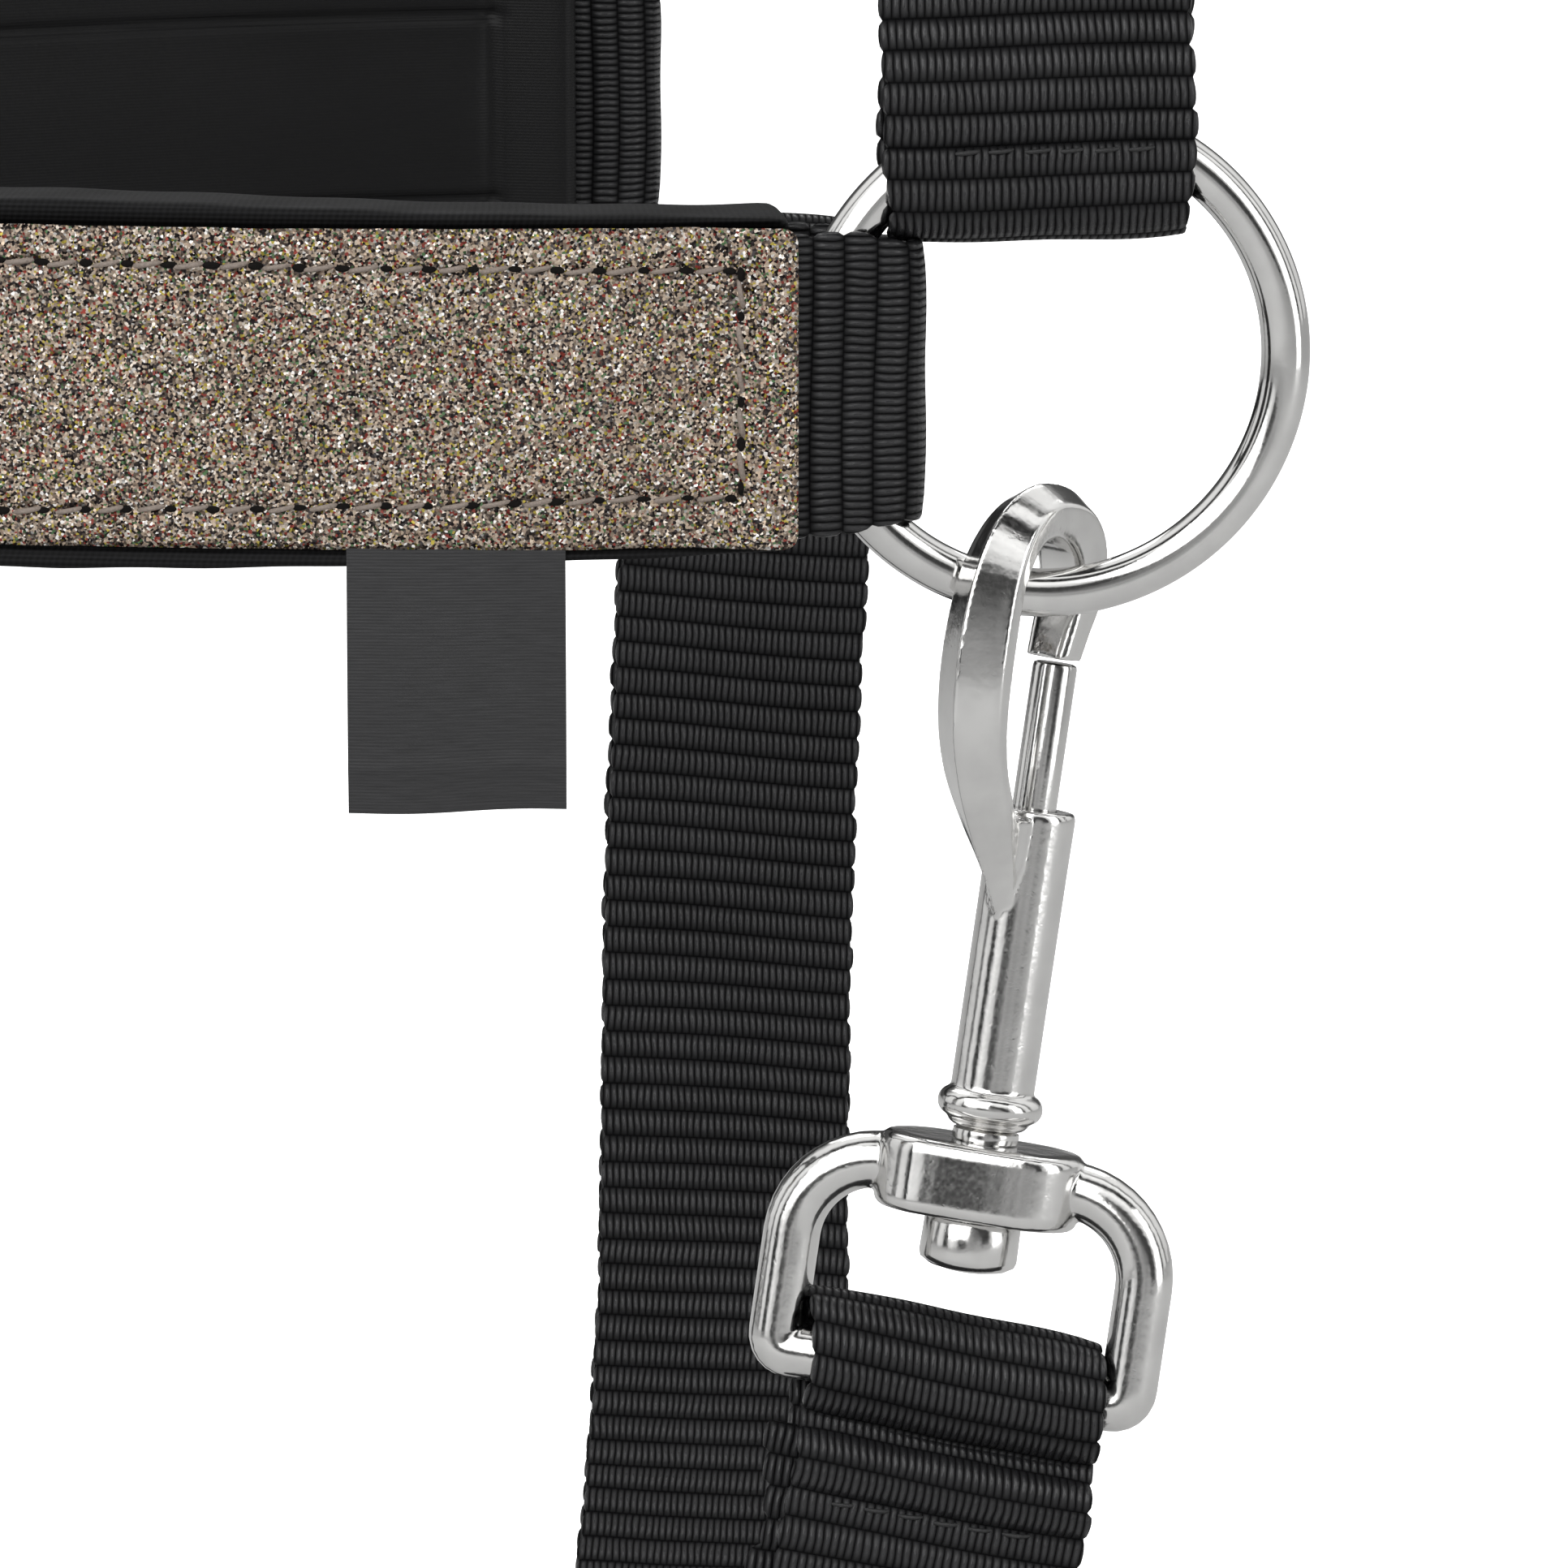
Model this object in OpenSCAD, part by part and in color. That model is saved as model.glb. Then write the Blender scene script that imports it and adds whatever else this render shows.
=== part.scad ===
// Padded webbing headcollar for a cob, held as it hangs on the head: nose to -X, near side to -Y, up is +Z.
// The origin is on the inner face of the crown pad, where it rests on the poll.

/* [Webbing] */
// Width of every strap
webbing_w = 25; // [20:0.5:26]
// Thickness of the webbing
webbing_t = 1.6; // [1.2:0.1:2]
// Gap between two layers that are sewn together
layer_gap = 0.1; // [0.05:0.05:0.2]
// Free space round the metal inside a fold
fold_gap = 0.35; // [0.25:0.05:0.6]
// Length over which a fold closes to its sewn layers
fold_taper = 9; // [6:0.5:12]

/* [Padding] */
// Height of the cheek and nose padding
pad_h = 30; // [28:0.5:40]
// Thickness of the cheek and nose padding
pad_t = 4.5; // [3:0.5:8]
// Height of the glitter facing
facing_h = 26; // [24:0.5:28]
// Thickness of the glitter facing
facing_t = 1.1; // [0.8:0.1:2]
// Thickness of the pad under the crown
crown_pad_t = 6; // [3:0.5:10]
// Width of the pad under the crown
crown_pad_w = 44; // [30:1:60]
// Half the angle that the crown pad covers over the poll
crown_pad_angle = 62; // [40:1:75]

/* [Side rings] */
// Inside diameter of the throat and nose rings
ring_bore = 35; // [34:0.5:42]
// Wire diameter of the throat and nose rings
ring_wire = 4; // [3:0.25:5]

/* [Lead ring] */
// Inside diameter of the ring under the chin
lead_bore = 42; // [40:0.5:50]
// Wire diameter of the ring under the chin
lead_wire = 5; // [4:0.25:6]

/* [Head size] */
// Distance between the two throat rings
throat_w = 170; // [140:1:210]
// Distance between the two nose rings
nose_w = 124; // [110:1:150]
// Throat ring centre to nose ring centre, along the head
cheek_l = 190; // [170:1:230]
// Throat ring centres to the poll
crown_h = 245; // [225:1:300]
// Throat ring centres down to the throat strap's lowest point
throat_drop = 170; // [150:1:210]
// Nose ring centres up to the noseband's middle
nose_rise = 92; // [75:1:120]
// Nose ring centres down to the lead ring
jaw_drop = 84; // [75:1:100]
// Radius of the crown over the poll
poll_r = 60; // [50:1:70]
// How far the crown straps stand forward of the throat ring's centre
crown_x = -1; // [-1.5:0.25:1]
// How far the cheek straps sit below the ring centres
cheek_drop = 1.2; // [0:0.1:1.5]
// Backward slope of the throat strap, in degrees
throat_tilt = 5.5; // [0:0.5:8]
// Free space round the throat strap in the chin connector's loop
sleeve_gap = 1.8; // [1.7:0.1:3]

/* [Crown buckle] */
// Diameter of the buckle's wire
buckle_wire = 3.5; // [3:0.25:4.5]
// Distance between the heel bar and the roller bar
buckle_l = 24; // [24:0.5:28]
// Free space beside the webbing inside the buckle
buckle_side = 1; // [0.6:0.1:2]
// Outside diameter of the roller
roller_d = 6; // [5.5:0.25:7]
// Diameter of the tongue
tongue_d = 3; // [2.5:0.25:3.5]
// Heel bar's height up the near side, from the start of the straight strap
buckle_up = 84; // [80:1:90]
// How far the crown strap's free end hangs past the heel bar
free_end = 66; // [60:1:80]
// Distance between the eyelets
eyelet_pitch = 22; // [20:1:30]
// Inside diameter of an eyelet
eyelet_d = 5.6; // [5.2:0.1:6.5]
// Distance from the heel bar down to the keeper's middle
keeper_down = 19; // [16:0.5:30]
// Width of the keeper along the strap
keeper_w = 9; // [6:0.5:12]
// Thickness of the keeper
keeper_t = 1.5; // [1:0.1:2.5]
// Running clearance of turning and sliding metal
run_gap = 0.05; // [0.03:0.01:0.1]

/* [Snap hook] */
// Diameter of the snap's shank
shank_d = 7; // [6.5:0.25:9]
// Length of the shank, from its collar to the mouth of its bore
shank_l = 27; // [24:0.5:32]
// Diameter of the collar at the shank's foot
collar_d = 8.7; // [8:0.1:11]
// Diameter of the bolt
bolt_d = 3.7; // [3:0.1:4]
// Height of the hook's nose above the foot of the shank, where the bolt meets it
nose_z = 39.6; // [38:0.2:42]
// Height of the top of the hook above the foot of the shank
hook_top = 54; // [53:0.5:60]
// How far the hook's arm stands out from the shank's axis
hook_reach = 15.4; // [15:0.2:18]
// Thickness of the hook's arm
hook_t = 3.6; // [3:0.1:4.4]
// Length of the bolt's travel
bolt_travel = 8; // [6:0.5:9]
// How far the snap's foot leans out, in degrees
snap_lean = 6; // [0:0.5:8]
// How far the hook is turned forward about its shank, in degrees
hook_turn = 41; // [30:1:42]

/* [Swivel eye] */
// Diameter of the eye's bars
eye_wire = 4.3; // [3.5:0.1:5]
// Free space beside the webbing inside the eye
eye_side = 0.7; // [0.6:0.1:1.5]
// Foot of the shank down to the eye's bottom bar
eye_drop = 20; // [19:0.5:26]
// Width of the hub that the shank turns in
hub_w = 17; // [15:0.5:20]
// Height of the hub
hub_h = 6.5; // [5:0.5:9]
// Diameter of the rivet's head
rivet_d = 8.2; // [7:0.2:10]

/* [Size label] */
// Width of the label along the strap
label_w = 17.5; // [10:0.5:25]
// Length of the label below the facing
label_l = 21.5; // [15:0.5:30]
// Distance from the throat ring's centre to the label
label_x = 40; // [30:1:80]

/* [Hidden] */
$fn = 64;

skin_gap = 0.15;
part_gap = 0.3;
ring_in = ring_bore / 2;
ring_mid = ring_in + ring_wire / 2;
ring_out = ring_in + ring_wire;
lead_in = lead_bore / 2;
lead_out = lead_in + lead_wire;
ring_z = -crown_h;
ply = (webbing_t + layer_gap) / 2;
stack = ply + webbing_t / 2;
ring_h = ring_wire / 2 + fold_gap + webbing_t / 2;
lead_h = lead_wire / 2 + fold_gap + webbing_t / 2;
ring_open = ring_out + fold_gap;
lead_open = lead_out + fold_gap;
ring_far = ring_open + fold_taper;
lead_far = lead_open + fold_taper;

// ---- Paths in a plane: lists of [x, y] points, with the outer face on the left of the way they run ----

function unit(v) = v / norm(v);
function left(v) = [-v[1], v[0]];
function flip(pts) = [for (i = [len(pts) - 1:-1:0]) pts[i]];
function ease(u) = u * u * (3 - 2 * u);

// Normal at point i, lengthened at a corner so that both sides keep their distance
function mitre(pts, i) =
  let (n = len(pts) - 1,
       a = unit(pts[max(i, 1)] - pts[max(i, 1) - 1]),
       b = unit(pts[min(i, n - 1) + 1] - pts[min(i, n - 1)]),
       m = unit(left(a) + left(b)))
  m / max(0.5, m * left(a));

// The path moved sideways by d
function shift(pts, d) = [for (i = [0:len(pts) - 1]) pts[i] + d * mitre(pts, i)];

// Points of a cubic curve
function curve(a, b, c, d, n) =
  [for (i = [0:n]) let (u = i / n, v = 1 - u) v * v * v * a + 3 * v * v * u * b + 3 * v * u * u * c + u * u * u * d];

// A path whose corners turn within r of each point, or half way to its neighbours if that is less
function rounded(pts, r) = concat(
  [pts[0]],
  [for (i = [1:len(pts) - 2])
    let (a = pts[i] - pts[i - 1],
         b = pts[i + 1] - pts[i],
         d = min(r, norm(a) / 2.02, norm(b) / 2.02),
         from = pts[i] - d * unit(a),
         to = pts[i] + d * unit(b))
    for (u = [0:0.25:1]) (1 - u) * (1 - u) * from + 2 * u * (1 - u) * pts[i] + u * u * to],
  [pts[len(pts) - 1]]);

// Offset of a fold's layer from its middle plane, u = 0 where sewn and 1 where fully open
function fold_offset(h, u) = ply + (h - ply) * ease(u);

// One half of a fold's opening, as [offset, distance] from the sewn end to the full width
function fold_side(h, open) =
  [for (i = [0:5]) [fold_offset(h, i / 5), open + fold_taper * (1 - i / 5)]];

// A fold round metal, from the inner layer to the outer one, with its inside reaching down to s_in
function fold(h, s_in, open) = concat(
  [for (p = fold_side(h, open)) [-p[0], p[1]]],
  [for (i = [0:10]) [-h * cos(18 * i), s_in + h - webbing_t / 2 - h * sin(18 * i)]],
  flip(fold_side(h, open)));

// Puts [offset, distance] pairs in the plane
function lay(pts, at, way, out) = [for (p = pts) at + p[1] * way + p[0] * out];

// How near the ring's centre a fold of half width w reaches inside a ring
function fold_reach(bore_r, w) = sqrt(bore_r * bore_r - w * w) - fold_gap;

// A doubled strap that is folded round metal at both ends, its cut ends butted on the inner layer
function doubled(route, fold_a, fold_b) =
  let (n = len(route) - 1,
       m = floor(n / 2),
       back = shift(route, -ply),
       front = shift(route, ply))
  concat(
    [0.45 * back[m + 1] + 0.55 * back[m]],
    [for (i = [m:-1:1]) back[i]],
    fold_a,
    [for (i = [1:n - 1]) front[i]],
    fold_b,
    [for (i = [n - 1:-1:m + 1]) back[i]],
    [0.55 * back[m + 1] + 0.45 * back[m]]);

// The outline of a strip of thickness t along a path
module strip(path, t) {
  polygon(concat(shift(path, t / 2), flip(shift(path, -t / 2))));
}

// Extrusions across the head, up the head and along the head
module across_x(w) rotate([90, 0, 90]) linear_extrude(w, center = true) children();
module along_y(w) rotate([90, 0, 0]) linear_extrude(w, center = true) children();
module up_z(w) linear_extrude(w, center = true) children();
module far_side() mirror([0, 1, 0]) children();

module wire_ring(bore, wire) {
  rotate([90, 0, 0]) rotate_extrude($fn = 96) translate([(bore + wire) / 2, 0]) circle(d = wire, $fn = 32);
}

// ---- Rings ----

module near_throat_ring() color("silver") translate([0, -throat_w / 2, ring_z]) wire_ring(ring_bore, ring_wire);
module far_throat_ring() color("silver") translate([0, throat_w / 2, ring_z]) wire_ring(ring_bore, ring_wire);
module near_nose_ring() color("silver") translate([-cheek_l, -nose_w / 2, ring_z]) wire_ring(ring_bore, ring_wire);
module far_nose_ring() color("silver") translate([-cheek_l, nose_w / 2, ring_z]) wire_ring(ring_bore, ring_wire);
module lead_ring() color("silver")
  translate([-cheek_l, 0, ring_z - jaw_drop]) rotate([90, 0, 0]) wire_ring(lead_bore, lead_wire);

// ---- Cheek straps, drawn for the near side from the throat ring to the nose ring ----

cheek_a = [0, -throat_w / 2];
cheek_b = [-cheek_l, -nose_w / 2];
cheek_run = cheek_l - 2 * ring_far;
cheek_route = [for (i = [0:16])
  let (u = i / 16) [-ring_far - cheek_run * u, -throat_w / 2 + (throat_w - nose_w) / 2 * ease(u)]];
cheek_fold_reach = fold_reach(ring_in, webbing_w / 2 + cheek_drop);

// A layer over the webbing's outer face (over > 0) or inner face (over < 0), that starts beside the rings
function cover(route, a, b, way_a, way_b, over) =
  let (side = over > 0 ? 1 : -1,
       end = [for (p = concat(fold_side(ring_h, ring_open), [[ring_h, cover_start]])) [side * p[0], p[1]]],
       n = len(route) - 1,
       mid = shift(route, side * ply),
       face = concat(
         flip(lay(end, a, way_a, left(way_a))),
         [for (i = [1:n - 1]) mid[i]],
         lay(end, b, way_b, -left(way_b))))
  shift(face, over);

cover_start = ring_out - 0.5;
facing_over = webbing_t / 2 + skin_gap + facing_t / 2;
pad_over = webbing_t / 2 + skin_gap + pad_t / 2;
lip_in = webbing_w / 2 + 0.4;
lip_h = pad_h / 2 - lip_in;
lip_t = 2 * stack + skin_gap;
lip_root = 0.5;

// Room that a crossing fold needs beside the cheek strap's end
module cheek_relief(x, z) {
  translate([x - webbing_w / 2 - 1.6, -throat_w, z > 0 ? ring_z + z : ring_z + z - webbing_w])
    cube([webbing_w + 3.2, throat_w, webbing_w]);
}

module cheek_webbing() {
  fold_pts = fold(ring_h, cheek_fold_reach, ring_open);
  path = doubled(
    cheek_route,
    lay(fold_pts, cheek_a, [-1, 0], [0, -1]),
    flip(lay(fold_pts, cheek_b, [1, 0], [0, -1])));
  difference() {
    translate([0, 0, ring_z - cheek_drop]) up_z(webbing_w) strip(path, webbing_t);
    cheek_relief(crown_x, fold_reach(ring_in, webbing_w / 2 - crown_x) - webbing_t - part_gap);
    cheek_relief(-cheek_l, fold_reach(ring_in, webbing_w / 2) - webbing_t - part_gap);
    cheek_relief(-cheek_l, -fold_reach(ring_in, webbing_w / 2) + webbing_t + part_gap);
    children();
  }
}

function cheek_cover(over) = cover(cheek_route, cheek_a, cheek_b, [-1, 0], [1, 0], over);

module cheek_pad() {
  translate([0, 0, ring_z - cheek_drop]) {
    up_z(pad_h) strip(cheek_cover(-pad_over), pad_t);
    for (side = [-1, 1])
      translate([0, 0, side * (lip_in + lip_h / 2)])
        up_z(lip_h) strip(shift(cheek_lip_path(), -lip_root / 2), lip_t + lip_root);
  }
}

// The pad's rolled edge, which fills the thickness of the webbing above and below it
function cheek_lip_path() = concat(
  [[-cover_start, -throat_w / 2]],
  cheek_route,
  [[-cheek_l + cover_start, -nose_w / 2]]);

module cheek_facing() {
  translate([0, 0, ring_z - cheek_drop]) up_z(facing_h) strip(cheek_cover(facing_over), facing_t);
}

module near_cheek_webbing() color("black") cheek_webbing();
module far_cheek_webbing() color("black")
  far_side() cheek_webbing()
    cheek_relief(0, -fold_reach(ring_in, webbing_w / 2) + webbing_t + 1);
module near_cheek_pad() color("dimgray") cheek_pad();
module far_cheek_pad() color("dimgray") far_side() cheek_pad();
module near_cheek_facing() color("rosybrown") cheek_facing();
module far_cheek_facing() color("rosybrown") far_side() cheek_facing();

// ---- Noseband, over the nose from the near ring to the far ring ----

nose_a = [-nose_w / 2, ring_z];
nose_b = [nose_w / 2, ring_z];
nose_arch_h = nose_rise - ring_far;
nose_route = [for (i = [0:20])
  [-nose_w / 2 * cos(9 * i), ring_z + ring_far + nose_arch_h * sin(9 * i)]];

module noseband_webbing() color("black") {
  fold_pts = fold(ring_h, fold_reach(ring_in, webbing_w / 2), ring_open);
  path = doubled(
    nose_route,
    lay(fold_pts, nose_a, [0, 1], [-1, 0]),
    flip(lay(fold_pts, nose_b, [0, 1], [1, 0])));
  translate([-cheek_l, 0, 0]) across_x(webbing_w) strip(path, webbing_t);
}

function nose_cover(over) = cover(nose_route, nose_a, nose_b, [0, 1], [0, 1], over);

module noseband_pad() color("dimgray") translate([-cheek_l, 0, 0]) {
  lip_path = concat([nose_a + [0, cover_start]], nose_route, [nose_b + [0, cover_start]]);
  across_x(pad_h) strip(nose_cover(-pad_over), pad_t);
  for (side = [-1, 1])
    translate([side * (lip_in + lip_h / 2), 0, 0])
      across_x(lip_h) strip(shift(lip_path, -lip_root / 2), lip_t + lip_root);
}

module noseband_facing() color("rosybrown")
  translate([-cheek_l, 0, 0]) across_x(facing_h) strip(nose_cover(facing_over), facing_t);

// ---- Jaw straps, from the lead ring up to each nose ring ----

lead_z = ring_z - jaw_drop;
jaw_start = [-lead_far, lead_z];
jaw_end = [-nose_w / 2, ring_z - ring_far];
jaw_route = curve(
  jaw_start,
  [jaw_start[0] - (jaw_start[0] - jaw_end[0]) * 0.7, lead_z],
  [jaw_end[0], lead_z + (jaw_end[1] - lead_z) * 0.4],
  jaw_end, 10);

module jaw_strap() {
  path = doubled(
    jaw_route,
    lay(fold(lead_h, fold_reach(lead_in, webbing_w / 2), lead_open), [0, lead_z], [-1, 0], [0, -1]),
    flip(lay(fold(ring_h, fold_reach(ring_in, webbing_w / 2), ring_open), nose_a, [0, -1], [-1, 0])));
  translate([-cheek_l, 0, 0]) across_x(webbing_w) strip(path, webbing_t);
}

module near_jaw_strap() color("black") jaw_strap();
module far_jaw_strap() color("black") far_side() jaw_strap();

// ---- Snap hook: its frame stands on the foot of the shank, with +Z up the shank ----

grip_u = 1.6 + (hook_reach - 4.4 - 1.6) / 2;
wire_up = hook_top - 9.7;
grip = grip_u * [sin(hook_turn), cos(hook_turn)];
eye_below = wire_up + eye_drop;
eye_y = grip[1] * cos(snap_lean) - eye_below * sin(snap_lean);
eye_deep = grip[1] * sin(snap_lean) + eye_below * cos(snap_lean);
snap_skew = atan2(grip[0], eye_deep);
eye_z = -ring_mid - grip[0] * sin(snap_skew) - eye_deep * cos(snap_skew);

module throat_plane() translate([0, 0, ring_z]) rotate([0, throat_tilt, 0]) children();

module snap_frame() {
  throat_plane() translate([0, -throat_w / 2, -ring_mid]) rotate([-snap_lean, snap_skew, 0])
    translate([grip[0], grip[1], -wire_up]) children();
}

module hook_frame() snap_frame() rotate([0, 0, -90 - hook_turn]) children();

bore_d = bolt_d + 4 * run_gap;
bolt_tail = shank_l - 9;
bore_floor = bolt_tail - bolt_travel - 2.5;
knob_z = bolt_tail + 3.5;
knob_turn = 215;
pin_d = 4;
pin_up = 5;
hub_top = -1;
hub_bottom = hub_top - hub_h;
arm_in = hook_reach - 4.4;

// The hook's flat outline, from the lower end of the arm round the top to the nose
hook_outer = rounded([
  [shank_d / 2 - 1, shank_l - 9.6], [shank_d / 2 + 1.4, shank_l - 7.5], [hook_reach - 3.6, shank_l + 0.5],
  [hook_reach, shank_l + 9], [hook_reach, hook_top - 9.5], [hook_reach - 3.4, hook_top - 1.8],
  [hook_reach - 9, hook_top], [0, hook_top - 0.6], [-3.6, hook_top - 4], [-3.2, nose_z + 3], [-2.5, nose_z]], hook_top);
hook_inner = rounded([
  [2.5, nose_z], [1.4, nose_z + 3.2], [1.4, hook_top - 6.4], [3.2, hook_top - 4.6], [7.2, hook_top - 4.4],
  [arm_in, hook_top - 7.5], [arm_in, hook_top - 13], [arm_in - 0.4, shank_l + 7], [arm_in - 4, shank_l + 1],
  [shank_d / 2 - 0.6, shank_l - 2], [shank_d / 2 - 1, shank_l - 3]], hook_top);

module snap_hook() color("silver") hook_frame() {
  difference() {
    union() {
      cylinder(h = shank_l, d = shank_d);
      rotate_extrude() translate([shank_d / 2 - 0.8, 2]) circle(d = collar_d - shank_d + 1.6);
      rotate([90, 0, 0]) linear_extrude(hook_t, center = true)
        polygon(concat(hook_outer, hook_inner, [[0, shank_l - 3], [0, shank_l - 9.6]]));
    }
    translate([0, 0, bore_floor]) cylinder(h = nose_z - bore_floor, d = bore_d);
    rotate([0, 0, knob_turn]) translate([0, -1.6, knob_z - bolt_travel - 1.8])
      cube([shank_d, 3.2, bolt_travel + 3.6]);
    translate([0, 0, -0.1]) cylinder(h = pin_up + 0.1, d = pin_d);
  }
}

module snap_bolt() color("silver") hook_frame() {
  translate([0, 0, bolt_tail]) cylinder(h = nose_z - bolt_tail - 0.1, d = bolt_d);
  rotate([0, 0, knob_turn]) translate([0, 0, knob_z]) rotate([0, 90, 0]) {
    cylinder(h = shank_d / 2 + 1.2, d = 2.4);
    translate([0, 0, shank_d / 2 + 0.4]) cylinder(h = 1.8, d = 4.2);
  }
}

spring_wire = 0.5;
spring_turns = 5;

module bolt_spring() color("silver") hook_frame() {
  spring_l = bolt_tail - bore_floor - 0.4;
  for (i = [0:spring_turns])
    translate([0, 0, bore_floor + 0.2 + spring_wire / 2 + i * (spring_l - spring_wire) / spring_turns])
      rotate_extrude($fn = 24) translate([bolt_d / 2 - 0.5, 0]) circle(d = spring_wire, $fn = 16);
}

module swivel_rivet() color("silver") hook_frame() {
  translate([0, 0, hub_bottom - 0.2]) cylinder(h = pin_up - 0.2 - hub_bottom, d = pin_d);
  translate([0, 0, hub_top + run_gap]) cylinder(h = -hub_top - 2 * run_gap, d = pin_d + 1.6);
  translate([0, 0, hub_bottom - run_gap - 3.6]) cylinder(h = 3.6, d = rivet_d);
  intersection() {
    translate([0, 0, hub_bottom - 4.4]) cylinder(h = 1, d = rivet_d);
    translate([0, 0, hub_bottom + 5.6]) sphere(r = 10);
  }
}

eye_half = webbing_w / 2 + eye_side + eye_wire / 2;
eye_bend = 7;
eye_top = (hub_top + hub_bottom) / 2;

module swivel_eye() color("silver") snap_frame() {
  difference() {
    translate([0, 0, hub_bottom]) linear_extrude(hub_h) {
      square([hub_w - 11, 11], center = true);
      for (side = [-1, 1]) translate([side * (hub_w - 11) / 2, 0]) circle(d = 11);
    }
    translate([0, 0, hub_bottom - 1]) cylinder(h = hub_h + 2, d = pin_d + 2 * run_gap);
  }
  for (side = [-1, 1]) {
    translate([side * (hub_w / 2 - 2), 0, eye_top]) rotate([0, side * 90, 0])
      cylinder(h = eye_half - eye_bend - hub_w / 2 + 2, d = eye_wire);
    translate([side * (eye_half - eye_bend), 0, eye_top - eye_bend]) rotate([90, side > 0 ? 0 : -90, 0])
      rotate_extrude(angle = 90) translate([eye_bend, 0]) circle(d = eye_wire, $fn = 32);
    translate([side * eye_half, 0, -eye_drop]) cylinder(h = eye_drop + eye_top - eye_bend, d = eye_wire);
    translate([side * eye_half, 0, -eye_drop]) sphere(d = eye_wire);
  }
  translate([-eye_half, 0, -eye_drop]) rotate([0, 90, 0]) cylinder(h = 2 * eye_half, d = eye_wire);
}

// ---- Throat strap, from the far throat ring under the jaw to the snap's eye, in a sloping plane ----

eye_at = [-throat_w / 2 + eye_y, eye_z];
eye_way = [-sin(snap_lean), -cos(snap_lean)];
eye_slack = webbing_w / 2 * sin(snap_skew);
eye_h = eye_wire / 2 + fold_gap + webbing_t / 2;
eye_open = eye_wire / 2 + fold_gap + eye_slack;
eye_far = eye_open + fold_taper;
throat_far = [throat_w / 2, -ring_far];
throat_near = eye_at + eye_far * eye_way;
throat_low = [0, -throat_drop];
throat_route = concat(
  curve(throat_far, throat_far + [6, -60], throat_low + [62, 0], throat_low, 12),
  [for (i = [1:10]) curve(
    throat_low, throat_low - [62, 0], throat_near + 30 * eye_way, throat_near, 10)[i]]);

module throat_strap() color("black") {
  path = doubled(
    throat_route,
    lay(fold(ring_h, fold_reach(ring_in, webbing_w / 2), ring_open), [throat_w / 2, 0], [0, -1], [1, 0]),
    flip(lay(fold(eye_h, -eye_wire / 2 - fold_gap - eye_slack, eye_open), eye_at, eye_way, [-cos(snap_lean), sin(snap_lean)])));
  throat_plane() across_x(webbing_w) strip(path, webbing_t);
}

// ---- Chin connector, from the lead ring back to a loop round the throat strap ----

sleeve_h = stack + sleeve_gap + webbing_t / 2;
sleeve_half = webbing_w / 2 + sleeve_gap;
sleeve_far = sleeve_half + fold_taper;
chin_at = [-throat_drop * sin(throat_tilt), ring_z - throat_drop * cos(throat_tilt)];
chin_way = [-cos(throat_tilt), sin(throat_tilt)];
chin_start = chin_at + sleeve_far * chin_way;
chin_end = [-cheek_l + lead_far, lead_z];

module chin_connector() color("black") {
  route = curve(chin_start, chin_start + 45 * chin_way, chin_end + [45, 0], chin_end, 12);
  path = doubled(
    route,
    lay(fold(sleeve_h, -sleeve_half, sleeve_half), chin_at, chin_way, [-sin(throat_tilt), -cos(throat_tilt)]),
    flip(lay(fold(lead_h, fold_reach(lead_in, webbing_w / 2), lead_open), [-cheek_l, lead_z], [1, 0], [0, -1])));
  along_y(webbing_w) strip(path, webbing_t);
}

// ---- Crown: straight strap up each side, leaning in, and an arch over the poll ----

side_z = ring_z + ring_far + 5;
crown_r = poll_r + crown_pad_t + skin_gap + webbing_t / 2;
arch_z = -poll_r;
arch_dist = norm([throat_w / 2, arch_z - side_z]);
inside = roller_d / 2 + part_gap + webbing_t / 2;
lean = atan2(throat_w / 2, arch_z - side_z) - asin((crown_r + inside) / arch_dist);
side_l = sqrt(arch_dist * arch_dist - (crown_r + inside) * (crown_r + inside));
side_way = [sin(lean), cos(lean)];

// A point on the near side, at offset t outside the middle plane and distance l up the strap
function near_at(t, l) = [-throat_w / 2, side_z] + l * side_way + t * [-cos(lean), sin(lean)];
function far_at(t, l) = let (p = near_at(t, l)) [-p[0], p[1]];

module near_line(l) {
  translate([crown_x, -throat_w / 2, side_z]) rotate([-lean, 0, 0]) translate([0, 0, l]) children();
}

bar_r = buckle_wire / 2;
heel_h = bar_r + fold_gap + webbing_t / 2;
heel_open = bar_r + fold_gap;
tongue_slot = tongue_d + 5;
crown_reach = fold_reach(ring_in, webbing_w / 2 + abs(crown_x));

module near_crown_tab() color("black") difference() {
  translate([crown_x, 0, 0]) across_x(webbing_w) strip(
    doubled(
      concat(
        [[-throat_w / 2, ring_z + ring_far]],
        [for (i = [1:5]) near_at(0, 2 + i * (buckle_up - heel_open - fold_taper - 4) / 6)],
        [near_at(0, buckle_up - heel_open - fold_taper)]),
      lay(fold(ring_h, crown_reach, ring_open), [-throat_w / 2, ring_z], [0, 1], [-1, 0]),
      flip(lay(fold(heel_h, -heel_open, heel_open), near_at(0, buckle_up), -side_way, [-cos(lean), sin(lean)]))),
    webbing_t);
  near_line(buckle_up) translate([-tongue_slot / 2, -webbing_w / 2, -heel_open - 4])
    cube([tongue_slot, webbing_w, heel_open + 14]);
}

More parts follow.
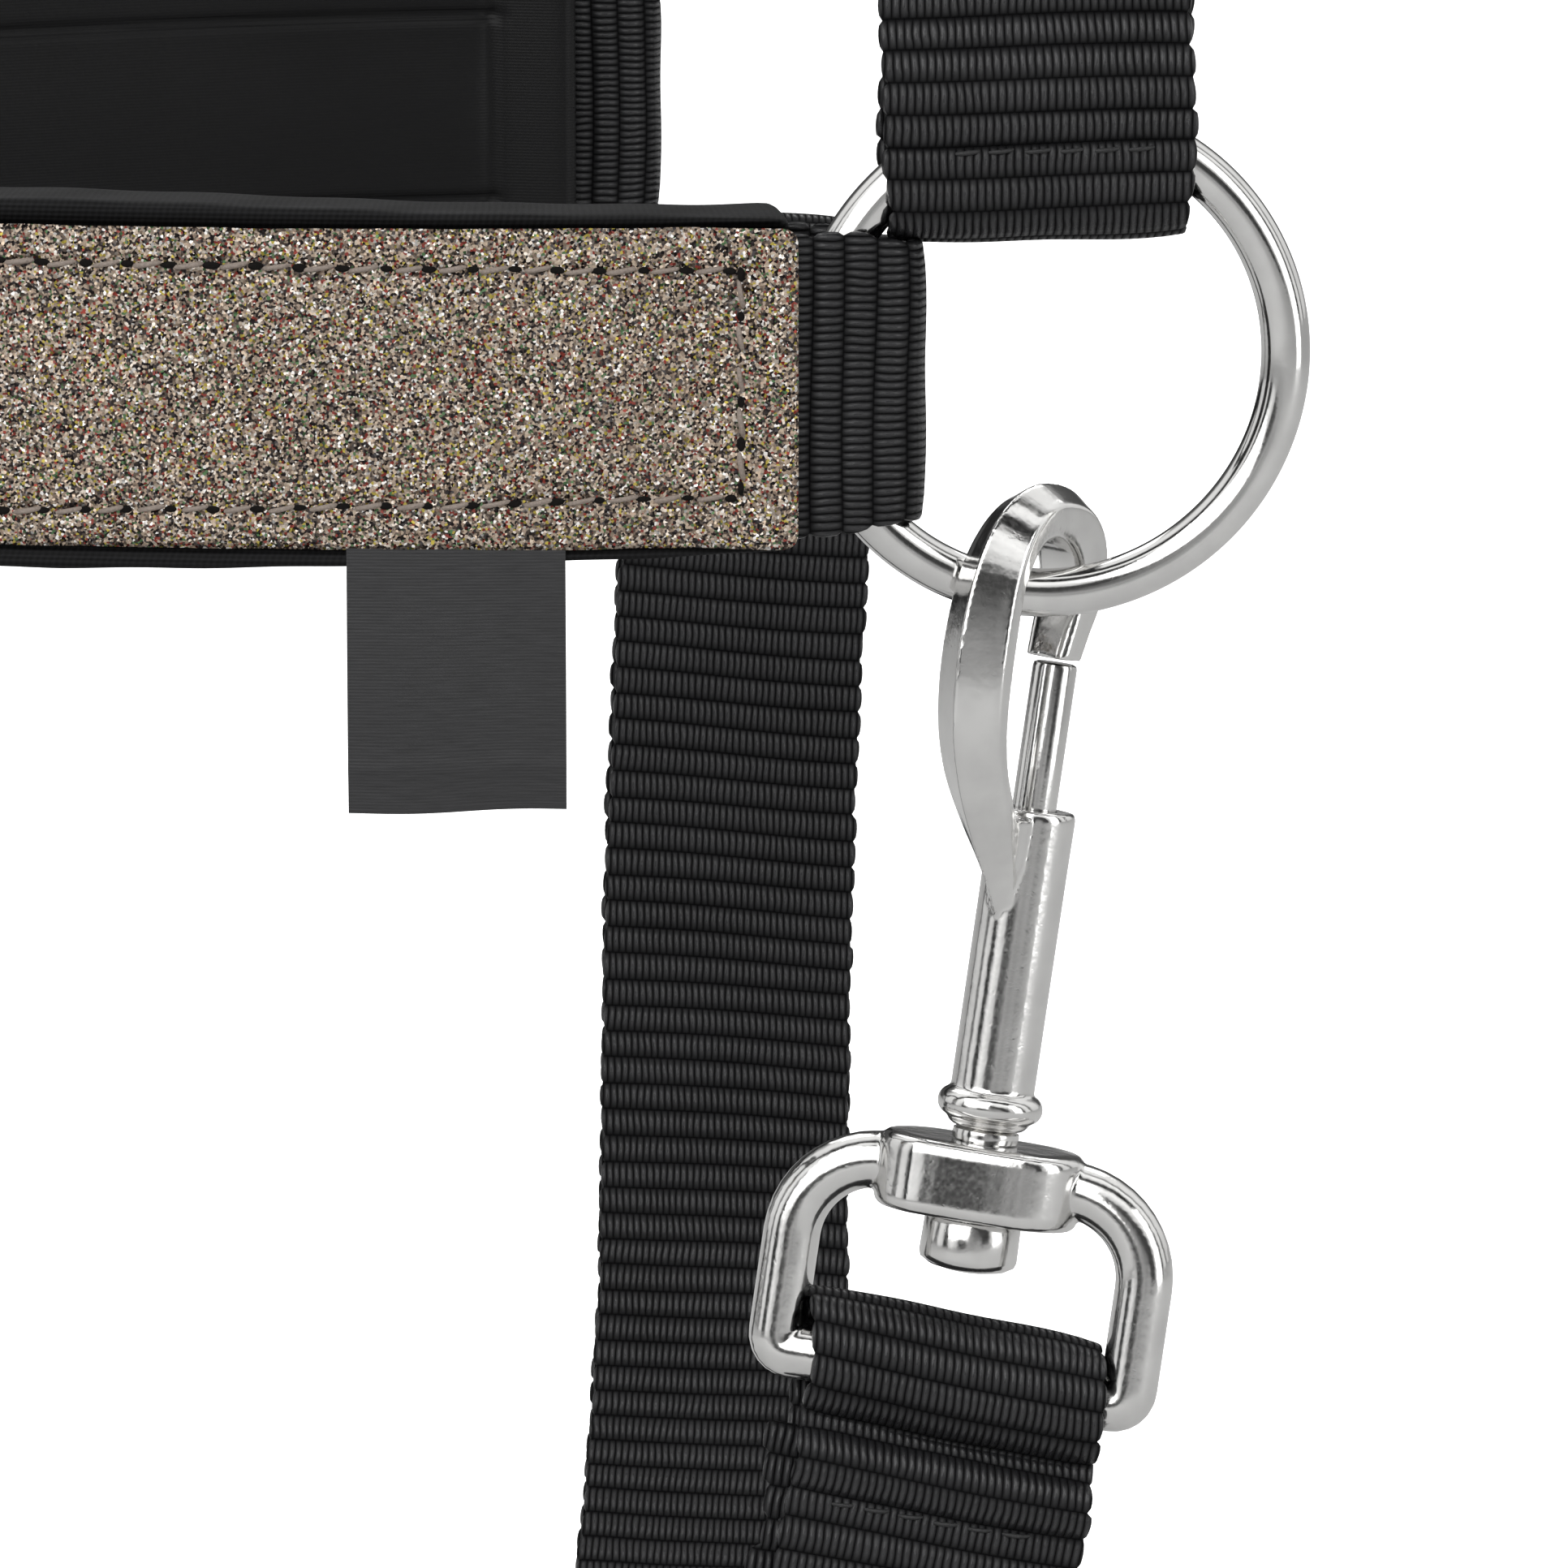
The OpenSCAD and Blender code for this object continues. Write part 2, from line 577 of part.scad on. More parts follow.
// The crown strap's course through the buckle, as [offset, distance past the heel bar]
tongue_rest = roller_d / 2 + tongue_d / 2 + skin_gap;
tongue_rise = asin(tongue_rest / buckle_l);
pierce_l = 10.5;
pierce_t = pierce_l * tan(tongue_rise);
eyelet_wall = 0.5;
eyelet_flange = 1.6;
eyelet_proud = eyelet_wall + 0.1;
outside = heel_h + webbing_t + skin_gap + eyelet_proud;
pierce = [pierce_t, pierce_l];
steep = [5.1, -4.7];
heel_turn = [outside, -1];
roller_turn = [-inside, buckle_l - 3];
buckle_course = [
  [outside, -free_end], heel_turn, pierce + steep, pierce - steep, roller_turn, [-inside, side_l - buckle_up]];
eyelets_below = [for (i = [1:3]) heel_turn[1] + norm(steep) + norm(pierce + steep - heel_turn) - i * eyelet_pitch];
eyelets_above = [for (i = [1:2]) roller_turn[1] - norm(steep) - norm(pierce - steep - roller_turn) + i * eyelet_pitch];

crown_path = concat(
  [for (p = rounded(buckle_course, 2.4)) near_at(p[0], buckle_up + p[1])],
  [for (i = [1:23]) let (a = -90 + lean + i * (180 - 2 * lean) / 24) [0, arch_z] + crown_r * [sin(a), cos(a)]],
  [far_at(-inside, side_l), far_at(ply, 14), far_at(ply, 1)],
  flip(lay(fold(ring_h, crown_reach, ring_open), [throat_w / 2, ring_z], [0, 1], [1, 0])),
  [far_at(-ply, 1), far_at(-ply, 8)]);

// Angle, from the strap's straight line, at which the strap passes through the buckle
steep_turn = -atan2(steep[0], -steep[1]);

// Places something at each eyelet, with local +Y along the eyelet's axis
module at_eyelets() {
  for (l = eyelets_below) near_line(buckle_up + l) translate([0, -outside, 0]) children();
  near_line(buckle_up + pierce_l) translate([0, -pierce_t, 0]) rotate([steep_turn, 0, 0]) children();
  for (l = eyelets_above) near_line(buckle_up + l) translate([0, inside, 0]) children();
}

module crown_strap() color("black") difference() {
  translate([crown_x, 0, 0]) across_x(webbing_w) strip(crown_path, webbing_t);
  at_eyelets() rotate([90, 0, 0]) cylinder(h = 4 * webbing_t, d = eyelet_d + 2 * eyelet_wall + 0.2, center = true);
}

module crown_eyelets() color("silver") at_eyelets() rotate([90, 0, 0]) rotate_extrude() {
  translate([eyelet_d / 2, -webbing_t / 2 - eyelet_proud]) square([eyelet_wall, webbing_t + 2 * eyelet_proud]);
  for (z = [-webbing_t / 2 - eyelet_proud, webbing_t / 2 + eyelet_proud - eyelet_wall])
    translate([eyelet_d / 2, z]) square([eyelet_flange, eyelet_wall]);
}

module crown_pad() color("dimgray") translate([crown_x, 0, 0]) across_x(crown_pad_w)
  strip([for (i = [0:20]) let (a = -crown_pad_angle + i * crown_pad_angle / 10)
    [0, arch_z] + (poll_r + crown_pad_t / 2) * [sin(a), cos(a)]], crown_pad_t);

keeper_l = buckle_up + heel_turn[1] - keeper_down;
keeper_lo = -stack - part_gap;
keeper_hi = outside + webbing_t / 2 + eyelet_proud + part_gap;

module crown_keeper() color("black") near_line(keeper_l) translate([0, -(keeper_lo + keeper_hi) / 2, 0])
  difference() {
    cube([webbing_w + 2 * part_gap + 2 * keeper_t, keeper_hi - keeper_lo + 2 * keeper_t, keeper_w], center = true);
    cube([webbing_w + 2 * part_gap, keeper_hi - keeper_lo, keeper_w + 2], center = true);
  }

// ---- Buckle ----

buckle_half = webbing_w / 2 + buckle_side + bar_r;

module buckle_frame() color("silver") near_line(buckle_up) {
  for (z = [0, buckle_l]) {
    translate([-buckle_half, 0, z]) rotate([0, 90, 0]) cylinder(h = 2 * buckle_half, d = buckle_wire);
    for (side = [-1, 1]) translate([side * buckle_half, 0, z]) sphere(d = buckle_wire);
  }
  for (side = [-1, 1]) translate([side * buckle_half, 0, 0]) cylinder(h = buckle_l, d = buckle_wire);
}

module buckle_roller() color("silver") near_line(buckle_up + buckle_l) rotate([0, 90, 0]) difference() {
  cylinder(h = webbing_w, d = roller_d, center = true);
  cylinder(h = webbing_w + 2, d = buckle_wire + 2 * run_gap, center = true);
}

module buckle_tongue() color("silver") near_line(buckle_up) {
  tip = buckle_l + 1;
  difference() {
    union() {
      rotate([0, 90, 0]) cylinder(h = tongue_d, r = bar_r + 1.3, center = true);
      rotate([tongue_rise, 0, 0]) {
        cylinder(h = tip, d = tongue_d);
        translate([0, 0, tip]) sphere(d = tongue_d);
      }
    }
    rotate([0, 90, 0]) cylinder(h = tongue_d + 4, r = bar_r + run_gap, center = true);
  }
}

// ---- Trim ----

module size_label() color("black") {
  route = [for (i = [0:4]) let (x = label_x + label_w * i / 4, u = (x - ring_far) / cheek_run)
    [-x, -throat_w / 2 + (throat_w - nose_w) / 2 * ease(u)]];
  translate([0, 0, ring_z - cheek_drop - facing_h / 2 - 0.1 - label_l / 2])
    up_z(label_l) strip(shift(route, stack + 0.5), 0.4);
}

thread_l = webbing_w * 0.76;
thread_w = 0.8;
thread_t = 0.4;

// A row of thread across a strap, on its outer face at height t over the middle plane
module thread(t) translate([0, -t - thread_t / 2 - 0.03, 0]) cube([thread_l, thread_t, thread_w], center = true);

module loop_stitching() color("dimgray") {
  near_line(12) thread(stack);
  near_line(buckle_up - 46) thread(-stack - thread_t - 0.06);
  far_side() near_line(18) thread(stack);
  for (side = [0, 1]) mirror([0, side, 0]) {
    translate([-cheek_l, -nose_w / 2, ring_z - ring_far]) thread(stack + 0.15);
    translate([-cheek_l, -lead_far, lead_z]) rotate([90, 0, 0]) thread(stack + 0.15);
  }
  translate([-cheek_l + lead_far, 0, lead_z]) rotate([0, 0, 90]) rotate([90, 0, 0]) thread(stack + 0.15);
  throat_plane() translate([0, throat_w / 2, -ring_far]) rotate([0, 0, 180]) thread(stack + 0.15);
  throat_plane() translate([0, throat_near[0], throat_near[1]]) rotate([-snap_lean, 0, 0]) thread(stack + 0.15);
}

near_throat_ring();
far_throat_ring();
near_nose_ring();
far_nose_ring();
lead_ring();
near_cheek_webbing();
far_cheek_webbing();
near_cheek_pad();
far_cheek_pad();
near_cheek_facing();
far_cheek_facing();
noseband_webbing();
noseband_pad();
noseband_facing();
near_jaw_strap();
far_jaw_strap();
chin_connector();
throat_strap();
near_crown_tab();
crown_strap();
crown_pad();
crown_eyelets();
crown_keeper();
buckle_frame();
buckle_roller();
buckle_tongue();
snap_hook();
snap_bolt();
bolt_spring();
swivel_eye();
swivel_rivet();
size_label();
loop_stitching();
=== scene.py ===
import math

import bpy
import numpy as np
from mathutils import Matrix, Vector


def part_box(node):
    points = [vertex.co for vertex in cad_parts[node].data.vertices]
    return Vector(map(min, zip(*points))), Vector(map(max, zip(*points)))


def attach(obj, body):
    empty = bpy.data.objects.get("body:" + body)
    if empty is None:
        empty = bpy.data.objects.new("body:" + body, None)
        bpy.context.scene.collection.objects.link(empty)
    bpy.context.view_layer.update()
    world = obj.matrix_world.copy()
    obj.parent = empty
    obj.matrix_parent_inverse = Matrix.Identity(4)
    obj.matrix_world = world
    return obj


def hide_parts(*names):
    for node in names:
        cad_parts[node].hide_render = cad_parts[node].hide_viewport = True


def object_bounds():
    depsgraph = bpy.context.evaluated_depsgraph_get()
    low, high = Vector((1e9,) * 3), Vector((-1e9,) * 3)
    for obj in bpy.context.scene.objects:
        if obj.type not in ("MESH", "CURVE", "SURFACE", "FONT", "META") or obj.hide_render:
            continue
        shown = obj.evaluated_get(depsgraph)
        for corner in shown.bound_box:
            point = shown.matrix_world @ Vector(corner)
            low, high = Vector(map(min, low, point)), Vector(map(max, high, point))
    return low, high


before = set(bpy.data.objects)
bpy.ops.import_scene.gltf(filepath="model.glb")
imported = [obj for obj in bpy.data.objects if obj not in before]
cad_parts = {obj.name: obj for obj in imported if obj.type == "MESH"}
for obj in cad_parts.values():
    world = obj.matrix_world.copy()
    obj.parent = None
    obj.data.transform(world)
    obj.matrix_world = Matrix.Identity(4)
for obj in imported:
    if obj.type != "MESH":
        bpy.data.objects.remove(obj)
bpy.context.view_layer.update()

# ---- Sizes in millimetres, in the part's own frame ----

MM = 0.001


def centre(node):
    lo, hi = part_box(node)
    return np.array((lo + hi) / 2) / MM


def extent(node):
    lo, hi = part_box(node)
    return np.array(hi - lo) / MM


throat_ring = centre("near_throat_ring")
nose_ring = centre("near_nose_ring")
lead_ring = centre("lead_ring")
ring_z = throat_ring[2]
throat_w = -2 * throat_ring[1]
nose_w = -2 * nose_ring[1]
cheek_l = throat_ring[0] - nose_ring[0]
lead_z = lead_ring[2]
ring_wire = extent("near_throat_ring")[1]
ring_bore = extent("near_throat_ring")[0] - 2 * ring_wire
lead_wire = extent("lead_ring")[2]
lead_bore = extent("lead_ring")[0] - 2 * lead_wire

webbing_w = 24.6
webbing_t = 1.5
fold_gap = 0.08
fold_taper = 9
ply = 0.8
stack = ply + webbing_t / 2
rib = 2.6
cheek_drop = 1.45
crown_x = -1.0
nose_rise = 92
throat_drop = 170
throat_tilt = math.radians(5.5)
poll_r = 60
crown_pad_t = 6
facing_h = 26.4

ring_in = ring_bore / 2
ring_mid = ring_in + ring_wire / 2
ring_out = ring_in + ring_wire
lead_in = lead_bore / 2
lead_out = lead_in + lead_wire
ring_h = ring_wire / 2 + fold_gap + webbing_t / 2
lead_h = lead_wire / 2 + fold_gap + webbing_t / 2
ring_open = ring_out + 0.4
lead_open = lead_out + 0.4
ring_far = ring_open + fold_taper
lead_far = lead_open + fold_taper

# ---- Paths in a plane ----


def pt(x, y):
    return np.array([float(x), float(y)])


def unit(v):
    return v / np.linalg.norm(v)


def left(v):
    return np.array([-v[1], v[0]])


def ease(u):
    return u * u * (3 - 2 * u)


def mitre(pts, i):
    n = len(pts) - 1
    j, k = max(i, 1), min(i, n - 1)
    a, b = unit(pts[j] - pts[j - 1]), unit(pts[k + 1] - pts[k])
    m = unit(left(a) + left(b))
    return m / max(0.5, float(m @ left(a)))


def shift(pts, d):
    return [p + d * mitre(pts, i) for i, p in enumerate(pts)]


def curve(a, b, c, d, n):
    out = []
    for i in range(n + 1):
        u = i / n
        v = 1 - u
        out.append(v ** 3 * a + 3 * v * v * u * b + 3 * v * u * u * c + u ** 3 * d)
    return out


def rounded(pts, r):
    out = [pts[0]]
    for i in range(1, len(pts) - 1):
        a, b = pts[i] - pts[i - 1], pts[i + 1] - pts[i]
        d = min(r, np.linalg.norm(a) / 2.02, np.linalg.norm(b) / 2.02)
        start, end = pts[i] - d * unit(a), pts[i] + d * unit(b)
        for u in (0, 0.25, 0.5, 0.75, 1):
            out.append((1 - u) ** 2 * start + 2 * u * (1 - u) * pts[i] + u * u * end)
    return out + [pts[-1]]


def fold_side(h, opened):
    return [pt(ply + (h - ply) * ease(i / 5), opened + fold_taper * (1 - i / 5)) for i in range(6)]


def fold(h, s_in, opened):
    side = fold_side(h, opened)
    turn = [pt(-h * math.cos(math.radians(18 * i)),
        s_in + h - webbing_t / 2 - h * math.sin(math.radians(18 * i)))
            for i in range(11)]
    return [pt(-p[0], p[1]) for p in side] + turn + side[::-1]


def lay(pts, at, way, out):
    return [at + p[1] * way + p[0] * out for p in pts]


def fold_reach(bore_r, w):
    return math.sqrt(bore_r * bore_r - w * w) - fold_gap


def doubled(route, fold_a, fold_b):
    n = len(route) - 1
    m = n // 2
    back, front = shift(route, -ply), shift(route, ply)
    return ([0.45 * back[m + 1] + 0.55 * back[m]] + back[m:0:-1] + fold_a + front[1:n] + fold_b
            + back[n - 1:m:-1] + [0.55 * back[m + 1] + 0.45 * back[m]])


def even(pts, step):
    """The smooth path through pts, as points a constant distance apart."""
    p = [pts[0]]
    for q in pts[1:]:
        if np.linalg.norm(q - p[-1]) > 0.05:
            p.append(q)
    p = np.array(p)
    ext = np.vstack([2 * p[0] - p[1], p, 2 * p[-1] - p[-2]])
    knots = np.concatenate([[0], np.cumsum(np.sqrt(np.linalg.norm(np.diff(ext, axis=0), axis=1)))])
    fine = []
    for i in range(1, len(ext) - 2):
        t0, t1, t2, t3 = knots[i - 1:i + 3]
        t = np.linspace(t1, t2, 10, endpoint=False)[:, None]
        a1 = (t1 - t) / (t1 - t0) * ext[i - 1] + (t - t0) / (t1 - t0) * ext[i]
        a2 = (t2 - t) / (t2 - t1) * ext[i] + (t - t1) / (t2 - t1) * ext[i + 1]
        a3 = (t3 - t) / (t3 - t2) * ext[i + 1] + (t - t2) / (t3 - t2) * ext[i + 2]
        b1 = (t2 - t) / (t2 - t0) * a1 + (t - t0) / (t2 - t0) * a2
        b2 = (t3 - t) / (t3 - t1) * a2 + (t - t1) / (t3 - t1) * a3
        fine.append((t2 - t) / (t2 - t1) * b1 + (t - t1) / (t2 - t1) * b2)
    fine = np.vstack(fine + [p[-1:]])
    s = np.concatenate([[0], np.cumsum(np.linalg.norm(np.diff(fine, axis=0), axis=1))])
    n = max(2, int(round(s[-1] / step)))
    at = np.linspace(0, s[-1], n + 1)
    return np.column_stack([np.interp(at, s, fine[:, k]) for k in range(p.shape[1])]), at


def normals(p):
    d = np.gradient(p, axis=0)
    d /= np.linalg.norm(d, axis=1)[:, None]
    return d, np.column_stack([-d[:, 1], d[:, 0]])


def wander(x, seed):
    """A smooth random course between about -1 and 1."""
    r = np.random.RandomState(seed)
    out = np.zeros_like(np.asarray(x, float))
    for k in (0.09, 0.21, 0.47):
        out += np.sin(np.asarray(x) * k * r.uniform(0.8, 1.3) + r.uniform(0, 6.3)) * r.uniform(0.4, 0.7)
    return out / 1.6


# ---- Planes that the paths lie in: each gives a point in the frame for (x, y) and the width w ----


def across_x(x0=0.0):
    return lambda x, y, w: np.stack([x0 + w, x + 0 * w, y + 0 * w], -1)


def along_y(x, y, w):
    return np.stack([x + 0 * w, w, y + 0 * w], -1)


def up_z(z0):
    return lambda x, y, w: np.stack([x + 0 * w, y + 0 * w, z0 + w], -1)


def far_side(place):
    return lambda x, y, w: place(x, y, w) * np.array([1, -1, 1])


# ---- Meshes ----


def mesh_object(name, verts, faces, uv=None, sharp=None):
    me = bpy.data.meshes.new(name)
    me.from_pydata((np.asarray(verts) * MM).tolist(), [], [list(f) for f in faces])
    if uv is not None:
        layer = me.uv_layers.new(name="weave")
        layer.data.foreach_set("uv", np.asarray(uv, np.float32).ravel())
    me.polygons.foreach_set("use_smooth", [True] * len(me.polygons))
    me.update()
    ob = bpy.data.objects.new(name, me)
    bpy.context.scene.collection.objects.link(ob)
    if sharp is not None:
        me.set_sharp_from_angle(angle=math.radians(sharp))
    return ob


def inside_out(grid, loop):
    """True if the loft's faces would look inwards, from the sign of the volume that they enclose."""
    g = grid - grid.reshape(-1, 3).mean(0)
    a, b = g, np.roll(g, -1, 1)
    if loop:
        c, d = np.roll(b, -1, 0), np.roll(a, -1, 0)
    else:
        a, b, c, d = a[:-1], b[:-1], b[1:], a[1:]
    volume = (a * np.cross(b, c)).sum() + (a * np.cross(c, d)).sum()
    if not loop:
        for ring, sign in ((g[0], -1), (g[-1], 1)):
            m = ring.mean(0)
            volume += sign * (m * np.cross(ring, np.roll(ring, -1, 0))).sum()
    return volume < 0


def loft(name, grid, uv=None, caps=True, loop=False, sharp=None):
    """Quads over grid[row][column], closed round each row; loop also joins the last row to the first."""
    grid = np.asarray(grid, float)
    R, C = grid.shape[:2]
    r = np.arange(R if loop else R - 1)
    c = np.arange(C)
    rr, cc = np.meshgrid(r, c, indexing="ij")
    nr, nc = (rr + 1) % R, (cc + 1) % C
    quads = np.stack([rr * C + cc, rr * C + nc, nr * C + nc, nr * C + cc], -1).reshape(-1, 4)
    turn = inside_out(grid, loop)
    if turn:
        quads = quads[:, ::-1]
    faces = quads.tolist()
    loops = None
    if uv is not None:
        uv = np.asarray(uv, float)
        U = np.concatenate([uv, uv[:, :1]], 1)
        a, b, d, e = U[rr, cc], U[rr, cc + 1], U[np.minimum(rr + 1, R - 1),
            cc + 1], U[np.minimum(rr + 1, R - 1), cc]
        loops = np.stack([a, b, d, e], 2).reshape(-1, 4, 2)
        if turn:
            loops = loops[:, ::-1]
        loops = loops.reshape(-1, 2)
    if caps and not loop:
        first, last = list(range(C)), list(range((R - 1) * C, R * C))
        faces += [first if turn else first[::-1], last[::-1] if turn else last]
        if loops is not None:
            ends = np.concatenate([uv[0] if turn else uv[0][::-1], uv[-1][::-1] if turn else uv[-1]])
            loops = np.concatenate([loops, ends])
    return mesh_object(name, grid.reshape(-1, 3), faces, loops, sharp)


def finish_piece(ob, material, body, replaces=()):
    ob.data.materials.clear()
    ob.data.materials.append(material)
    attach(ob, body)
    if replaces:
        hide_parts(*replaces)
    return ob


def webbing(name, path, place, width=webbing_w, t=webbing_t, steps=6, cols=14, seed=1, sway=None,
    squeeze=None,
            pitch=rib, relief=0.24, ravel=0.12):
    """A ribbed strap along a path, its ribs, scalloped edges and slight unevenness all in the mesh."""
    p, s = even(path, pitch / steps)
    tangent, out = normals(p)
    frac = (np.arange(len(s)) % steps) / steps
    crest = np.sqrt(np.clip(1 - (2 * frac - 1) ** 2, 0, 1))
    row = np.arange(len(s)) // steps
    r = np.random.RandomState(seed)
    per = r.uniform(-1, 1, (row.max() + 2, 4))
    half = width / 2 - 0.34 * (1 - crest)
    if squeeze is not None:
        half = half - squeeze(s, p)
    el = half + ravel * per[row, 0] + 0.12 * wander(s, seed + 5)
    er = half + ravel * per[row, 1] + 0.12 * wander(s, seed + 6)
    w0 = 0.18 * wander(s, seed + 7) + (sway(s) if sway is not None else 0)
    bulge = t / 2 - relief * (1 - crest) * (1 + 0.25 * per[row, 2])
    u = np.linspace(-1, 1, cols)
    n = len(s)
    W = np.where(u[None] < 0, u[None] * el[:, None], u[None] * er[:, None]) + w0[:, None]
    soft = 1 - 0.35 * np.abs(u) ** 8
    bow = 0.16 * np.sin(u[None] * 2.2 + seed + s[:, None] * 0.05) + 0.1 * per[row, 3][:, None] * u[None]
    wave = 0.05 * np.sin(W * 0.55 + s[:, None] * 0.21 + seed)
    edge_l, edge_r = -el + w0, er + w0
    rows_x, rows_y, rows_w, uvs = [], [], [], []

    def put(off, w, slide, uu):
        rows_x.append(p[:, :1] + out[:, :1] * off + tangent[:, :1] * slide)
        rows_y.append(p[:, 1:] + out[:, 1:] * off + tangent[:, 1:] * slide)
        rows_w.append(w)
        uvs.append(np.stack([uu, s[:, None] + 0 * uu], -1))

    top = bulge[:, None] * soft[None] + wave
    low = -bulge[:, None] * soft[None] + wave
    put(top, W, bow, W)
    lip = np.array([[0.22, 0.5], [0.34, 0.0], [0.22, -0.5]])
    mid = wave[:, -1:]
    put(mid + lip[None, :, 1] * bulge[:, None], edge_r[:, None] + lip[None, :, 0],
        bow[:, -1:] + 0 * lip[None, :, 0],
        edge_r[:, None] + lip[None, :, 0])
    put(low[:, ::-1], W[:, ::-1], bow[:, ::-1], W[:, ::-1])
    mid = wave[:, :1]
    put(mid - lip[None, :, 1] * bulge[:, None], edge_l[:, None] - lip[None, :, 0],
        bow[:, :1] + 0 * lip[None, :, 0],
        edge_l[:, None] - lip[None, :, 0])
    X, Y, Wd = (np.concatenate(k, 1) for k in (rows_x, rows_y, rows_w))
    return loft(name, place(X, Y, Wd), np.concatenate(uvs, 1))


def strap_piece(name, nodes, path, place, **shape):
    """A webbing strap on the headcollar's own body."""
    return finish_piece(webbing(name, path, place, **shape), webbing_mat, "headcollar", nodes)


def section_loft(name, path, place, section, step=1.0, ends=1.6):
    """A soft piece along a path: section(s, total) gives its outline as rows of offsets and of widths."""
    p, s = even(path, step)
    total = s[-1]
    extra = np.array([0.12, 0.35, 0.75]) * ends
    at = np.unique(np.concatenate([[0, total], s, extra, total - extra]))
    p = np.column_stack([np.interp(at, s, p[:, k]) for k in range(2)])
    _, out = normals(p)
    off, w = section(at, total)
    near = np.minimum(at, total - at) / ends
    shrink = np.sqrt(np.clip(1 - (1 - np.clip(near, 0, 1)) ** 2, 0, 1))
    inset = (1 - shrink)[:, None]
    mid_off = off.mean(1, keepdims=True)
    w = w - np.sign(w) * np.minimum(np.abs(w), ends * 0.8 * inset)
    off = off + (mid_off - off) * 0.55 * inset
    X = p[:, :1] + out[:, :1] * off
    Y = p[:, 1:] + out[:, 1:] * off
    uvs = np.stack([w, at[:, None] + 0 * w], -1)
    return loft(name, place(X, Y, w), uvs)


def torus(name, c, axis, r_mid, wire, n=220, m=40, uneven=0.0):
    c, axis = np.array(c, float), unit(np.array(axis, float))
    ref = np.array([0, 0, 1.0]) if abs(axis[2]) < 0.9 else np.array([1.0, 0, 0])
    e1 = unit(np.cross(axis, ref))
    e2 = np.cross(axis, e1)
    a = np.arange(n) / n * 2 * np.pi
    b = np.arange(m) / m * 2 * np.pi
    radial = np.cos(a)[:, None] * e1 + np.sin(a)[:, None] * e2
    r = wire / 2 * (1 + uneven * np.sin(3 * a + 0.7) + uneven * 0.7 * np.sin(7 * a + 2))
    g = c + radial[:, None] * (r_mid + r[:, None] * np.cos(b)[None])[..., None] + axis * (
        r[:, None] * np.sin(b)[None])[..., None]
    return loft(name, g, loop=True)


def lathe(name, profile, frame_at, n=48, sharp=40, caps=True):
    """A turned piece: profile is (radius, height) pairs along the frame's own Z."""
    a = np.arange(n) / n * 2 * np.pi
    g = [[(r * math.cos(t), r * math.sin(t), z) for t in a] for r, z in profile]
    return loft(name, frame_at(np.array(g, float)), caps=caps, sharp=sharp)


def tube(pts, r, m=20):
    """Rows of a round bar along 3-D points; r is one radius, or one for each point."""
    p = np.asarray(pts, float)
    r = np.broadcast_to(np.asarray(r, float), (len(p),))
    d = np.gradient(p, axis=0)
    d /= np.linalg.norm(d, axis=1)[:, None]
    ref = np.array([0.13, 0.97, 0.21])
    e1 = np.cross(d, ref)
    e1 /= np.linalg.norm(e1, axis=1)[:, None]
    e2 = np.cross(d, e1)
    a = np.arange(m) / m * 2 * np.pi
    return p[:, None] + (np.cos(a)[None, :, None] * e1[:, None] + np.sin(a)[None, :, None] * e2[:,
        None]) * r[:, None, None]


def join(name, parts):
    """One mesh from several objects."""
    verts, faces = [], []
    for o in parts:
        base = len(verts)
        verts += [tuple(v.co / MM) for v in o.data.vertices]
        faces += [[base + i for i in f.vertices] for f in o.data.polygons]
        bpy.data.objects.remove(o)
    return mesh_object(name, np.array(verts), faces)


def cast(name, parts, voxel, smooth):
    """Overlapping solids melted into one casting with small natural fillets."""
    ob = join(name, parts)
    m = ob.modifiers.new("melt", "REMESH")
    m.mode, m.voxel_size, m.use_smooth_shade = "VOXEL", voxel * MM, True
    k = ob.modifiers.new("soften", "SMOOTH")
    k.factor, k.iterations = 0.5, smooth
    dg = bpy.context.evaluated_depsgraph_get()
    made = bpy.data.meshes.new_from_object(ob.evaluated_get(dg))
    made.name = name
    ob.modifiers.clear()
    ob.data = made
    made.polygons.foreach_set("use_smooth", [True] * len(made.polygons))
    return ob


